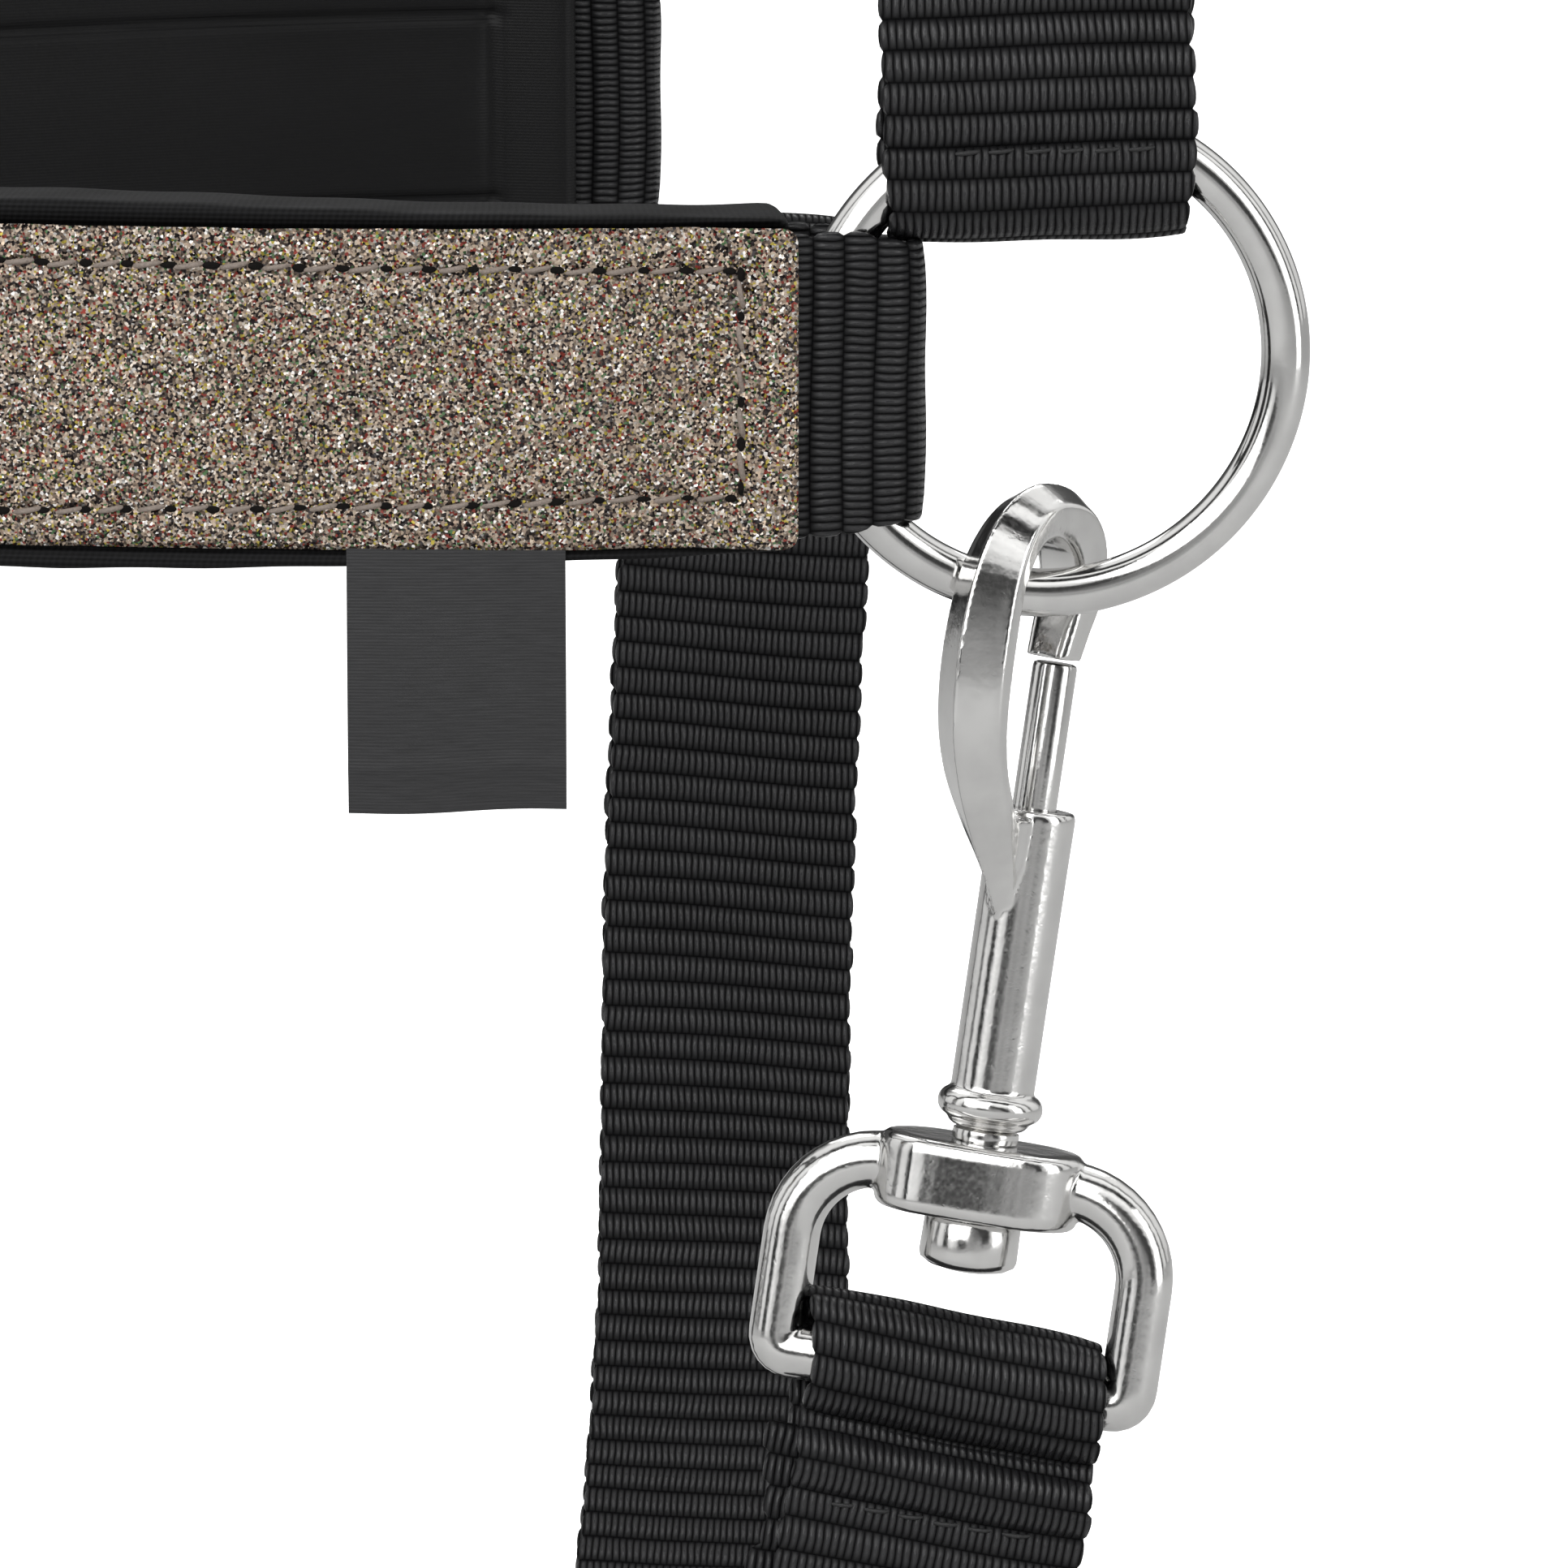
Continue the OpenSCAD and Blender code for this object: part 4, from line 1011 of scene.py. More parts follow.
hook_top, hook_reach, shank_l, nose_z, eye_drop = 54.0, 15.4, 27.0, 39.6, 20.0
hook_turn, snap_lean = math.radians(41), math.radians(6)
bolt_tail, knob_z, knob_turn, bolt_travel = 18.0, 21.5, math.radians(215), 8.0
grip_u = 1.6 + (hook_reach - 4.4 - 1.6) / 2
wire_up = hook_top - 9.7
grip = (grip_u * math.sin(hook_turn), grip_u * math.cos(hook_turn))
eye_below = wire_up + eye_drop
eye_y = grip[1] * math.cos(snap_lean) - eye_below * math.sin(snap_lean)
eye_deep = grip[1] * math.sin(snap_lean) + eye_below * math.cos(snap_lean)
snap_skew = math.atan2(grip[0], eye_deep)
eye_z = -ring_mid - grip[0] * math.sin(snap_skew) - eye_deep * math.cos(snap_skew)
throat_turn = turn_y(throat_tilt)
snap_settle = 0.75
snap_turn = throat_turn @ turn_y(snap_skew) @ turn_x(-snap_lean)
snap_at = np.array([0, 0, ring_z]) + throat_turn @ np.array([0, -throat_w / 2,
    -ring_mid]) + snap_turn @ np.array([grip[0], grip[1], -wire_up - snap_settle])
hook_rot = snap_turn @ turn_z(-math.pi / 2 - hook_turn)


def in_snap(v):
    return np.asarray(v, float) @ snap_turn.T + snap_at


def in_hook(v):
    return np.asarray(v, float) @ hook_rot.T + snap_at


def cut(ob, cutters):
    """Takes the cutters out of a mesh."""
    for c in cutters:
        m = ob.modifiers.new("cut", "BOOLEAN")
        m.operation, m.solver, m.object = "DIFFERENCE", "EXACT", c
    dg = bpy.context.evaluated_depsgraph_get()
    made = bpy.data.meshes.new_from_object(ob.evaluated_get(dg))
    ob.modifiers.clear()
    ob.data = made
    for c in cutters:
        bpy.data.objects.remove(c)
    made.polygons.foreach_set("use_smooth", [True] * len(made.polygons))
    made.set_sharp_from_angle(angle=math.radians(38))
    return ob


def arm_sections():
    """The hook's curved arm: a bar with a ridge along its outside, from its pointed foot to its nose."""
    stations = [
        # outer x, z, inner x, z, thickness, share of the depth that the ridge takes
        (2.2, 16.4, 2.4, 18.2, 0.9, 0.5), (3.4, 17.6, 2.6, 21.6, 2.2, 0.45),
        (5.6, 20.3, 4.2, 25.2, 3.4, 0.42),
        (9.2, 24.3, 6.9, 28.0, 4.9, 0.5), (12.5, 28.8, 9.3, 31.2, 5.7, 0.5),
        (14.8, 34.0, 10.6, 35.0, 6.1, 0.5),
        (15.6, 40.0, 11.0, 40.2, 6.2, 0.5), (14.9, 46.2, 10.6, 45.4, 5.9, 0.5),
        (12.1, 51.4, 8.6, 48.8, 5.3, 0.46),
        (7.2, 54.0, 6.0, 49.7, 5.0, 0.34), (1.4, 53.7, 3.4, 49.0, 5.0, 0.3),
        (-2.6, 50.6, 1.6, 47.0, 4.9, 0.28),
        (-3.3, 46.0, 1.3, 44.4, 4.8, 0.24), (-2.6, 42.0, 1.7, 41.8, 4.5, 0.35),
        (-2.25, 39.7, 2.1, 39.7, 4.2, 0.4)]
    st = np.array(stations)
    knots = np.arange(len(st))
    fine = np.linspace(0, len(st) - 1, 90)
    cols = []
    for k in range(6):
        path, _ = even([pt(i * 3.0, st[i, k]) for i in range(len(st))], 0.2)
        cols.append(np.interp(fine * 3.0, path[:, 0], path[:, 1]))
    ox, oz, ix, iz, th, rs = cols
    grid = []
    for a in range(len(fine)):
        o, i = pt(ox[a], oz[a]), pt(ix[a], iz[a])
        d = o - i
        depth = np.linalg.norm(d)
        d = d / max(depth, 1e-6)
        h = th[a] / 2
        ridge = rs[a] * depth
        ring = []
        for back, y in ((0, 0), (ridge * 0.35, 0.34), (ridge * 0.7, 0.68), (ridge * 0.95, 0.95),
            (ridge + 0.2, 1.0),
                        (depth * 0.7, 0.98), (depth - 0.5, 0.93), (depth - 0.12, 0.8), (depth, 0.6),
                        (depth, 0.0)):
            q = o - d * min(back, depth)
            ring.append((q[0], h * y, q[1]))
        ring += [(x, -y, z) for x, y, z in ring[-2:0:-1]]
        grid.append(ring)
    return in_hook(np.array(grid))


arm = loft("arm", arm_sections())
shank = lathe("shank", [(2.9, 0.15), (3.35, 0.5), (3.5, 1.0), (3.5, 12), (3.52, 22), (3.56, shank_l - 0.5),
    (3.4, shank_l)], in_hook)
bead_ring = [(3.3 + 1.12 * math.cos(a), 2.05 + 1.2 * math.sin(a)) for a in np.linspace(-1.6, 1.6, 11)]
bead = lathe("bead", [(3.0, 0.85)] + bead_ring + [(3.0, 3.25)], in_hook)
web = loft("web", in_hook(np.array([
    [(0.5, y, 17.6) for y in (-1.0, 1.0)] + [(3.2, y, 18.0) for y in (0.9, -0.9)],
    [(0.5, y, 22.0) for y in (-1.9, 1.9)] + [(4.6, y, 22.6) for y in (1.6, -1.6)],
    [(0.5, y, 26.4) for y in (-2.1, 2.1)] + [(5.2, y, 26.2) for y in (1.7, -1.7)]])))
hook = cast("snap_hook_casting", [arm, shank, bead, web], 0.17, 5)
bore = lathe("bore", [(1.98, 7.4), (1.98, shank_l + 2.2)], in_hook, n=40)
slot_rot = lambda v: in_hook(np.asarray(v, float) @ turn_z(knob_turn).T)
slot = loft("slot", slot_rot(np.array([
    [(0, -1.6, z), (5.5, -1.6, z), (5.5, 1.6, z), (0, 1.6, z)] for z in (knob_z - bolt_travel - 1.8,
    knob_z + 1.8)])))
socket = lathe("socket", [(2.0, -0.6), (2.0, 4.95)], in_hook, n=40)
cut(hook, [bore, slot, socket])
finish_piece(hook, cast_mat, "hook", ["snap_hook"])

bolt = lathe("snap_bolt_pin", [(1.2, bolt_tail), (1.75, bolt_tail + 0.3), (1.85, bolt_tail + 0.7),
    (1.85, nose_z - 0.75),
                               (1.78, nose_z - 0.45), (1.5, nose_z - 0.32)], in_hook)
knob_way = lambda v: slot_rot(np.asarray(v, float)[..., [2, 1, 0]] * (1, 1, -1) + (0, 0, knob_z))
knob = lathe("snap_bolt_thumb_piece", [(1.15, 0.9), (1.15, 3.95), (1.7, 4.05), (2.1, 4.3), (2.1, 5.1),
    (1.8, 5.5), (1.0, 5.7)], knob_way, n=32)
finish_piece(bolt, cast_mat, "bolt", ["snap_bolt"])
finish_piece(knob, cast_mat, "bolt", ())

hub_top, hub_h = -1.0, 6.5
rivet = lathe("swivel_rivet_pin", [
    (1.7, 4.6), (1.98, 4.2), (1.98, 0.3), (2.75, -0.12), (2.8, -0.5), (2.75, hub_top + 0.06),
    (2.02, hub_top + 0.05),
    (2.02, hub_top - hub_h - 0.06), (3.9, hub_top - hub_h - 0.12), (4.05, hub_top - hub_h - 0.5),
    (4.1, hub_top - hub_h - 3.3),
    (3.95, hub_top - hub_h - 3.7), (3.2, hub_top - hub_h - 4.15), (1.8, hub_top - hub_h - 4.45),
    (0.5, hub_top - hub_h - 4.5)], in_hook)
finish_piece(rivet, cast_mat, "hook", ["swivel_rivet"])

# ---- Swivel eye ----

eye_wire = 4.8
eye_half = 14.95
eye_mid = hub_top - hub_h / 2


def stadium(wide, deep, z):
    """A ring of points round a bar with straight sides and round ends."""
    out = []
    for i in range(64):
        t = 2 * math.pi * i / 64
        c, s = math.cos(t), math.sin(t)
        x = (wide - deep) / 2 * (1 if c > 0 else -1) * min(1, abs(c) * 3) + deep / 2 * c
        out.append((x, deep / 2 * s, z))
    return out


eye_long, eye_swing = 0.95, math.radians(18)


def in_eye(v):
    return in_snap(np.asarray(v, float) @ turn_z(-eye_swing).T)


hub_levels = [(1.5, -0.05), (0.55, -0.12), (0.12, -0.5), (0, -1.1), (0, -hub_h / 2), (0, -hub_h + 1.1),
    (0.12, -hub_h + 0.5),
              (0.55, -hub_h + 0.12), (1.5, -hub_h + 0.05)]
hub = loft("hub", in_eye(np.array([stadium(17.2 - 2 * k, 11.2 - 2 * k, hub_top + z) for k, z in hub_levels])))
half_path = []
for t in np.linspace(0, 1, 6):
    half_path.append((5.5 + (eye_half - 7.2 - 5.5) * t, eye_mid + 0.35))
for a in np.linspace(0, math.pi / 2, 12)[1:]:
    half_path.append((eye_half - 7.2 + 7.2 * math.sin(a), eye_mid + 0.35 - 7.2 * (1 - math.cos(a))))
for z in np.linspace(eye_mid - 7.6, -eye_drop - eye_long + 1.5, 8):
    half_path.append((eye_half, z))
for a in np.linspace(0, math.pi / 2, 7)[1:]:
    half_path.append((eye_half - 1.3 + 1.3 * math.cos(a), -eye_drop - eye_long + 1.3 - 1.3 * math.sin(a)))
half_path.append((eye_half - 6, -eye_drop - eye_long))
half_path.append((2, -eye_drop - eye_long))
right = np.array([(x, 0, z) for x, z in half_path])
leftwards = right[::-1] * (-1, 1, 1)
frame_path = in_eye(np.concatenate([right, leftwards]))
bars = loft("bars", tube(frame_path, eye_wire / 2, 28))
eye = cast("swivel_eye_casting", [hub, bars], 0.19, 5)
hole = lathe("hole", [(2.12, hub_top + 1.5), (2.12, hub_top - hub_h - 1.5)], in_snap, n=40)
cut(eye, [hole])
finish_piece(eye, cast_mat, "eye", ["swivel_eye"])

# ---- Throat strap: its near end follows the tilted bar of the eye, its far end hangs almost straight ----

eye_way = pt(-math.sin(snap_lean), -math.cos(snap_lean))
eye_at = pt(-throat_w / 2 + eye_y, eye_z) + (eye_long + snap_settle) * eye_way
eye_h = eye_wire / 2 + 0.1 + webbing_t / 2
far_reach, far_gather = 14.9, 3.8
throat_far = pt(throat_w / 2, -ring_far)
throat_near = eye_at + 16 * eye_way
throat_low = pt(0, -throat_drop)
throat_route = curve(throat_far, throat_far + pt(6, -60), throat_low + pt(62, 0), throat_low, 12) + curve(
    throat_low, throat_low - pt(62, 0), throat_near + 30 * eye_way, throat_near, 10)[1:]
eye_out = pt(-math.cos(snap_lean), math.sin(snap_lean))
eye_turn = [(-eye_h * math.cos(math.radians(18 * i)),
    (eye_h + 1.5) * -math.sin(math.radians(18 * i))) for i in range(11)]
eye_back = [(-ply, 14.5), (-ply - 0.1, 11.0), (-1.5, 7.0), (-2.6, 3.2)]
eye_front = [(3.1, 1.8), (2.0, 3.9), (0.7, 5.2), (1.0, 6.2), (2.6, 7.6), (2.9, 9.2), (2.0, 11.4), (1.7, 16.5)]
eye_fold = lay([pt(o, d) for o, d in eye_back + eye_turn + eye_front], eye_at, eye_way, eye_out)


def throat_place(x, y, w):
    """The sloping plane through the throat rings, with the lean of each end worked in."""
    near = np.clip((-x - 40) / 30, 0, 1)
    far = np.clip((x - 40) / 30, 0, 1)
    depth = np.clip((eye_at[1] + 3 - y) / 55, 0, 1)
    tilt = near * (1 - ease(depth)) * snap_skew
    swing = near * (1 - ease(depth)) * eye_swing
    slide = far * (0.9 * ease(np.clip((-y - 18) / 20, 0, 1)) + 3.0 * ease(np.clip((-y - 40) / 100, 0, 1)))
    slide = slide - near * 1.6 * ease(np.clip((eye_z - y) / 30, 0, 1)) * np.clip((168 + y) / 60, 0, 1)
    v = np.stack([w * np.cos(tilt) * np.cos(swing) + slide + 0 * x, x - w * np.sin(swing),
        y - w * np.sin(tilt)], -1)
    return v @ throat_turn.T + np.array([0, 0, ring_z])


throat_path = doubled(
    throat_route,
    lay(fold(ring_h, far_reach, ring_open), pt(throat_w / 2, 0), pt(0, -1), pt(1, 0)), eye_fold[::-1])
strap_piece("throat_webbing", ["throat_strap"], throat_path, throat_place, seed=9, cols=16,
                squeeze=lambda s, p: far_gather * ease(np.clip((25 - np.linalg.norm(p - pt(throat_w / 2, 0),
                axis=1)) / 8, 0, 1)))
extra = [throat_near + k * eye_way for k in (-9.5, 0, 10, 20, 32)]
strap_piece("throat_tail", (), shift(extra, 0.75), throat_place, seed=10, t=1.3, width=webbing_w - 1.2,
    sway=lambda s: -2.3 + 0 * s, ravel=0.6)

# ---- Chin connector ----

sleeve_h = 1.65 + 1.8 + webbing_t / 2
sleeve_half = webbing_w / 2 + 1.9
chin_at = pt(-throat_drop * math.sin(throat_tilt), ring_z - throat_drop * math.cos(throat_tilt))
chin_way = pt(-math.cos(throat_tilt), math.sin(throat_tilt))
chin_start = chin_at + (sleeve_half + fold_taper) * chin_way
chin_end = pt(-cheek_l + lead_far, lead_z)
chin_route = curve(chin_start, chin_start + 45 * chin_way, chin_end + pt(45, 0), chin_end, 12)
strap_piece("chin_webbing", ["chin_connector"], doubled(
    chin_route,
    lay(fold(sleeve_h, -sleeve_half, sleeve_half), chin_at, chin_way,
    pt(-math.sin(throat_tilt), -math.cos(throat_tilt))),
    lay(fold(lead_h, fold_reach(lead_in, webbing_w / 2), lead_open), pt(-cheek_l, lead_z), pt(1, 0),
    pt(0, -1))[::-1]),
    along_y, seed=12)

# ---- Crown ----

side_z = ring_z + 35.85
crown_r = poll_r + crown_pad_t + 0.15 + 0.8
inside = 4.1
arch_dist = math.hypot(throat_w / 2, -poll_r - side_z)
lean = math.atan2(throat_w / 2, -poll_r - side_z) - math.asin((crown_r + inside) / arch_dist)
side_l = math.sqrt(arch_dist ** 2 - (crown_r + inside) ** 2)
side_way = pt(math.sin(lean), math.cos(lean))
side_out = pt(-math.cos(lean), math.sin(lean))


def near_at(t, l):
    return pt(-throat_w / 2, side_z) + l * side_way + t * side_out


def far_at(t, l):
    return near_at(t, l) * (-1, 1)


def on_line(v, up=0.0):
    """A place on the near side's straight strap: local +Z up the strap, -Y outwards."""
    return np.asarray(v, float) @ turn_x(-lean).T + np.array([crown_x, 0, 0]) + np.array([0, *near_at(0, up)])


buckle_up, buckle_l, bar_r = 84.0, 24.0, 1.75
heel_h, heel_open = bar_r + 0.15 + webbing_t / 2, bar_r + 0.35
crown_sag = 0.5
crown_reach = fold_reach(ring_in, 12.9) - crown_sag
tab_path = doubled(
    [pt(-throat_w / 2, ring_z + ring_far)]
    + [near_at(0, 2 + i * (buckle_up - heel_open - fold_taper - 4) / 6) for i in range(1, 6)]
    + [near_at(0, buckle_up - heel_open - fold_taper)],
    lay(fold(ring_h, crown_reach, ring_open), pt(-throat_w / 2, ring_z), pt(0, 1), pt(-1, 0)),
    lay(fold(heel_h, -heel_open, heel_open), near_at(0, buckle_up), -side_way, side_out)[::-1])
place = across_x(crown_x)


def ring_squeeze(a, b):
    """Pulls both edges in a little where the strap turns inside a ring."""
    c = np.array([a, b])

    def by(s, p):
        return 0.55 * ease(np.clip((17.0 - np.linalg.norm(p - c, axis=1)) / 6, 0, 1))

    return by


tab = webbing("near_crown_webbing", tab_path, place, seed=15, width=25.0, cols=18,
              squeeze=ring_squeeze(-throat_w / 2, ring_z),
              sway=lambda s: 0.45 * np.cos(np.clip((s - 20) / 60, 0, 1) * math.pi))
slot = loft("tongue_slot", on_line(np.array([[(-4, -13, z), (4, -13, z), (4, 13, z),
    (-4, 13, z)] for z in (-6, 12)]), buckle_up))
cut(tab, [slot])
finish_piece(tab, webbing_mat, "headcollar", ["near_crown_tab"])

outside = 5.25
pierce_l = 10.5
pierce_t = pierce_l * math.tan(math.asin((3 + 1.5 + 0.15) / buckle_l))
steep, pierce = pt(5.1, -4.7), pt(pierce_t, pierce_l)
heel_turn, roller_turn = pt(outside, -1), pt(-inside, buckle_l - 3)
course = [pt(outside, -66), heel_turn, pierce + steep, pierce - steep, roller_turn,
    pt(-inside, side_l - buckle_up)]
crown_path = [near_at(q[0], buckle_up + q[1]) for q in rounded(course, 2.4)]
for i in range(1, 24):
    a = -math.pi / 2 + lean + i * (math.pi - 2 * lean) / 24
    crown_path.append(pt(crown_r * math.sin(a), -poll_r + crown_r * math.cos(a)))
crown_path += [far_at(-inside, side_l), far_at(ply, 14), far_at(ply, 1)]
crown_path += lay(fold(ring_h, crown_reach, ring_open), pt(throat_w / 2, ring_z), pt(0, 1), pt(1, 0))[::-1]
crown_path += [far_at(-ply, 1), far_at(-ply, 8)]
strap = webbing("crown_webbing", crown_path, place, seed=17, cols=16)
norm = np.linalg.norm
below = [heel_turn[1] + norm(steep) + norm(pierce + steep - heel_turn) - i * 22 for i in (1, 2, 3)]
above = [roller_turn[1] - norm(steep) - norm(pierce - steep - roller_turn) + i * 22 for i in (1, 2)]
steep_turn = -math.atan2(steep[0], -steep[1])
eyelets = [(l, -outside, 0.0) for l in below] + [(pierce_l, -pierce_t, steep_turn)] + [(l, inside,
    0.0) for l in above]
punches = []
for l, y, turn in eyelets:
    def at(v, l=l, y=y, turn=turn):
        return on_line(np.asarray(v, float) @ (turn_x(turn) @ turn_x(math.pi / 2)).T + np.array([0, y, 0]),
            buckle_up + l)
    punches.append(lathe("punch", [(3.35, -3.2), (3.35, 3.2)], at, n=32))
cut(strap, punches)
finish_piece(strap, webbing_mat, "headcollar", ["crown_strap"])


def crown_pad_section(s, total):
    u = np.linspace(1, -1, 31)
    half = 21.6 - 2.0 * np.clip(1 - np.minimum(s, total - s) / 14, 0, 1)[:, None] ** 2
    seam = 0.55 * np.exp(-((np.abs(u[None]) * half - 18.6) / 0.6) ** 2)
    top = 2.9 * (1 - 0.8 * np.abs(u[None]) ** 6) - seam
    low = -2.9 * (1 - 0.8 * np.abs(u[None]) ** 6) + seam
    off = np.concatenate([top + 0 * half, (low + 0 * half)[:, ::-1]], 1)
    w = np.concatenate([u[None] * half, u[None, ::-1] * half], 1)
    return off, w


pad_path = []
for i in range(21):
    a = math.radians(-62 + 6.2 * i)
    pad_path.append(pt(63 * math.sin(a), -poll_r + 63 * math.cos(a)))
poll = Vector((crown_x * MM, 0, -poll_r * MM))
pad_piece("crown_padding", "crown_pad", pad_path, place, crown_pad_section, 1.2, 2.6,
          lambda f: f.normal.dot(poll - f.center) > 0.5 * math.hypot(f.center.y, f.center.z - poll.z))

# ---- Keeper: a narrow webbing loop round both straps ----

keep_lo, keep_hi = -2.1, outside + 0.8 + 0.6 + 0.35
kx, ky = 12.5 + 0.4 + 0.75, (keep_hi - keep_lo) / 2 + 0.75
corners = [pt(2.0, -ky), pt(kx, -ky), pt(kx, ky), pt(-kx, ky), pt(-kx, -ky), pt(-1.0, -ky),
    pt(1.5, -ky - 1.15)]
loop_path = rounded(corners, 1.6)
keeper_up = buckle_up - 1 - 19
keeper_place = lambda x, y, w: on_line(np.stack([x + 0 * w, -(y + (keep_hi + keep_lo) / 2) + 0 * w, w], -1),
    keeper_up)
keeper = webbing("crown_keeper_webbing", loop_path, keeper_place, width=8.4, t=1.35, cols=8, seed=19,
    pitch=1.7, relief=0.14, ravel=0.05)
finish_piece(keeper, webbing_mat, "keeper", ["crown_keeper"])

# ---- Size label, blank, folded over and caught under the facing's edge ----

route = []
for i in range(9):
    x = 40 + 17.5 * i / 8
    route.append(pt(-x, -throat_w / 2 + (throat_w - nose_w) / 2 * ease((x - ring_far) / cheek_run)))
label_path, label_s = even(shift(route, stack + 0.35), 0.5)
_, label_out = normals(label_path)
top_w, low_w = -half_facing + 1.6, -half_facing - 21.6
rows = 52
drop = np.linspace(0, 1, rows)
across = np.linspace(0, 1, len(label_s))
front, back = [], []
for d in drop:
    w = top_w + (low_w - top_w) * d
    crease = 0.12 * math.exp(-((d - 0.84) / 0.03) ** 2)
    bend = 0.5 * math.sin(d * 2.6) - 0.15 * d + 0.22 * np.sin(across * 5.2 + d * 3.0) * d + crease
    lean_w = 0.35 * (0.5 - across) * d + 0.1 * np.sin(across * 7) * d
    for side, lst in ((0.11, front), (-0.11, back)):
        lst.append(np.stack([
            label_path[:, 0] + label_out[:, 0] * (bend + side),
            label_path[:, 1] + label_out[:, 1] * (bend + side),
            ring_z - cheek_drop - 0.15 + w + lean_w], -1))
front, back = np.array(front), np.array(back)
grid = np.concatenate([front, back[:, ::-1]], 1)
label_uv = np.stack(np.broadcast_arrays(
    np.concatenate([label_s, label_s[::-1]])[None], (drop * (top_w - low_w))[:, None]), -1)
label = loft("size_label_ribbon", grid, label_uv, sharp=50)
finish_piece(label, label_mat, "headcollar", ["size_label"])

# ---- Rows of black stitches across the folds ----


def row_across(name, path, place, s, half, off, seed, w0=0.0, replaces=()):
    w = np.arange(-half, half, 0.4)
    line, normal = on_path(path, place, np.full(len(w), float(s)), off, w + w0)
    row = stitch_row(name, line, normal, pitch=2.9, length=2.3, r=0.2, seed=seed, slant=0.1)
    return finish_piece(row, black_thread, "headcollar", replaces)


def find_s(path, target):
    """The distance along a path of the point on it nearest to a target."""
    p, s = even(path, 0.5)
    return s[np.argmin(np.linalg.norm(p - target, axis=1))]


row_across("crown_tab_stitches", tab_path, place, find_s(tab_path, pt(-throat_w / 2 - 2.4, ring_z + 17.6)),
    9.6, 0.72, 41, w0=0.8)
row_across("crown_strap_stitches", crown_path, place, find_s(crown_path, far_at(ply, 4)), 9.6, 0.74, 42,
           replaces=["loop_stitching"])
row_across("throat_near_stitches", throat_path, throat_place,
    find_s(throat_path, eye_at + 11.6 * eye_way + 2.0 * eye_out), 10.2, 0.74, 43)
row_across("throat_far_stitches", throat_path, throat_place, find_s(throat_path, throat_far + pt(ply, 0)),
    9.0, 0.74, 44)
for prefix, side, seed in (("near", lambda f: f, 45), ("far", far_side, 46)):
    row_across(prefix + "_jaw_nose_stitches", jaw_path, side(across_x(-cheek_l)),
        find_s(jaw_path, jaw_end + pt(-ply, 0)), 9.6, 0.74, seed)
    row_across(prefix + "_jaw_lead_stitches", jaw_path, side(across_x(-cheek_l)),
        find_s(jaw_path, jaw_start + pt(0, -ply)), 9.6, 0.74, seed + 2)

# ---- Carried-over CAD pieces ----

for node in ("buckle_frame", "buckle_roller", "buckle_tongue", "crown_eyelets", "bolt_spring"):
    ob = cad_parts[node]
    ob.data.materials.clear()
    ob.data.materials.append(steel_mat if node == "bolt_spring" else ring_mat)

# ---- Floor, light and camera ----

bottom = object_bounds()[0].z
floor_mesh = bpy.data.meshes.new("floor")
floor_mesh.from_pydata([(-4, -4, bottom - 0.012), (4, -4, bottom - 0.012), (4, 4, bottom - 0.012),
    (-4, 4, bottom - 0.012)], [], [(0, 1, 2, 3)])
floor = bpy.data.objects.new("floor", floor_mesh)
bpy.context.scene.collection.objects.link(floor)
k = Nodes("floor_paper", Roughness=0.9)
paper = k.noise(k.place(), 40, 2)
seen = k.add("ShaderNodeLightPath").outputs["Is Camera Ray"]
white = k.mix(paper, rgb(0.93, 0.93, 0.93), rgb(0.96, 0.96, 0.96))
k.surface(Base_Color=k.mix(seen, rgb(0.45, 0.45, 0.45), white),
    Emission_Strength=k.math("MULTIPLY_ADD", seen, 0.75, 0.08))
k.bsdf.inputs["Emission Color"].default_value = (1, 1, 1, 1)
floor_mesh.materials.append(k.mat)

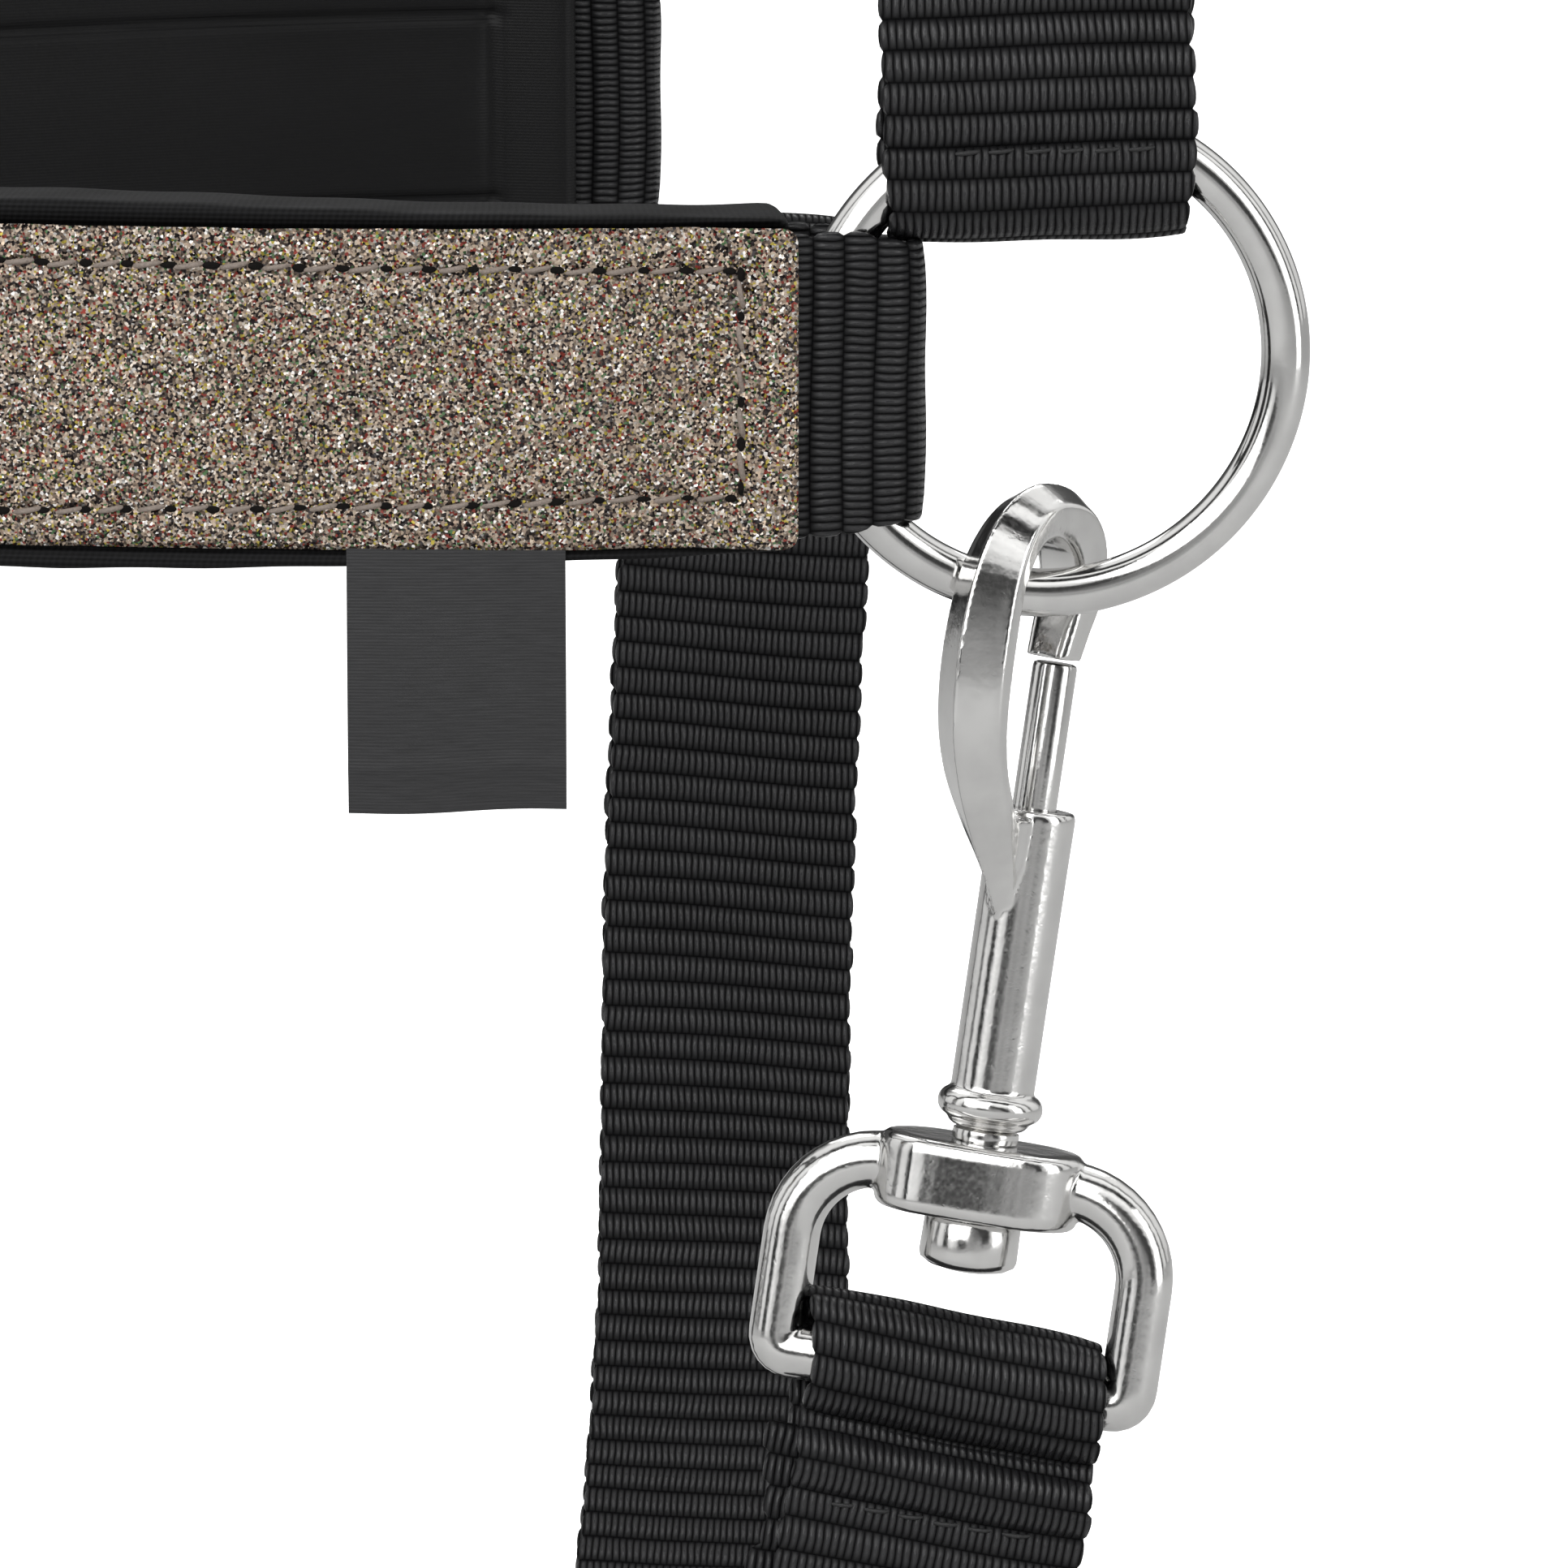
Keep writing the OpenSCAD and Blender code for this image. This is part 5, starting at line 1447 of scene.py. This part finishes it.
world = bpy.data.worlds.new("studio")
bpy.context.scene.world = world
world.use_nodes = True
tree = world.node_tree
w = Nodes.__new__(Nodes)
w.tree = tree
sky = next(n for n in tree.nodes if n.type == "BACKGROUND")
coords = w.add("ShaderNodeTexCoord").outputs["Generated"]
parts = tree.nodes.new("ShaderNodeSeparateXYZ")
w.feed(parts.inputs[0], coords)
wobble = w.math("MULTIPLY_ADD", w.noise(coords, 3.2, 2), 0.16, -0.08)
facing_y = w.math("MULTIPLY_ADD", w.math("ADD", parts.outputs[1], wobble), 0.5, 0.5)
tent = w.ramp(facing_y, [(0.0, 0.5), (0.04, 0.06), (0.09, 0.04), (0.115, 0.7), (0.2, 1.2), (0.255, 0.8),
    (0.27, 0.01), (0.37, 0.01), (0.4, 0.9), (0.5, 1.1), (0.55, 0.03), (0.63, 0.9), (0.8, 0.9), (0.9, 0.1),
    (1.0, 0.08)])
overhead = w.ramp(w.math("MULTIPLY_ADD", parts.outputs[2], 0.5, 0.5),
    [(0.0, 0.75), (0.45, 0.8), (0.62, 1.0), (1.0, 1.25)])
light_tree = w.tree.nodes.new("ShaderNodeVectorMath")
light_tree.operation = "MULTIPLY"
w.feed(light_tree.inputs[0], tent)
w.feed(light_tree.inputs[1], overhead)
seen = w.add("ShaderNodeLightPath").outputs["Is Camera Ray"]
w.feed(sky.inputs["Color"], w.mix(seen, light_tree.outputs[0], rgb(1.02, 1.02, 1.02)))


def softbox(name, at, aim, size, power):
    data = bpy.data.lights.new(name, "AREA")
    data.shape, data.size, data.size_y, data.energy = "RECTANGLE", size[0], size[1], power
    ob = bpy.data.objects.new(name, data)
    bpy.context.scene.collection.objects.link(ob)
    ob.location = at
    ob.rotation_mode = "QUATERNION"
    ob.rotation_quaternion = (Vector(aim) - Vector(at)).to_track_quat("-Z", "Y")
    return ob


aim = (-0.03, -0.085, -0.27)
softbox("key", (-0.55, -0.75, 0.35), aim, (1.1, 1.1), 8.0)
softbox("fill", (0.75, -0.6, -0.05), aim, (0.4, 1.0), 2.4)
softbox("rim", (0.1, 0.7, 0.5), aim, (1.0, 0.5), 2.6)

ring_at = Vector(throat_ring * MM)
camera_data = bpy.data.cameras.new("camera")
camera_data.sensor_width = 36
camera_data.lens = 216.2
camera_data.clip_start, camera_data.clip_end = 0.05, 50
camera = bpy.data.objects.new("camera", camera_data)
bpy.context.scene.collection.objects.link(camera)
camera.location = ring_at + Vector((-0.120, -0.751, 0.127))
look = ring_at + Vector((-0.022, 0, -0.035)) - camera.location
camera.rotation_mode = "QUATERNION"
camera.rotation_quaternion = look.to_track_quat("-Z", "Y")
bpy.context.scene.camera = camera
bpy.context.scene.view_settings.view_transform = "Standard"
bpy.context.scene.view_settings.look = "None"
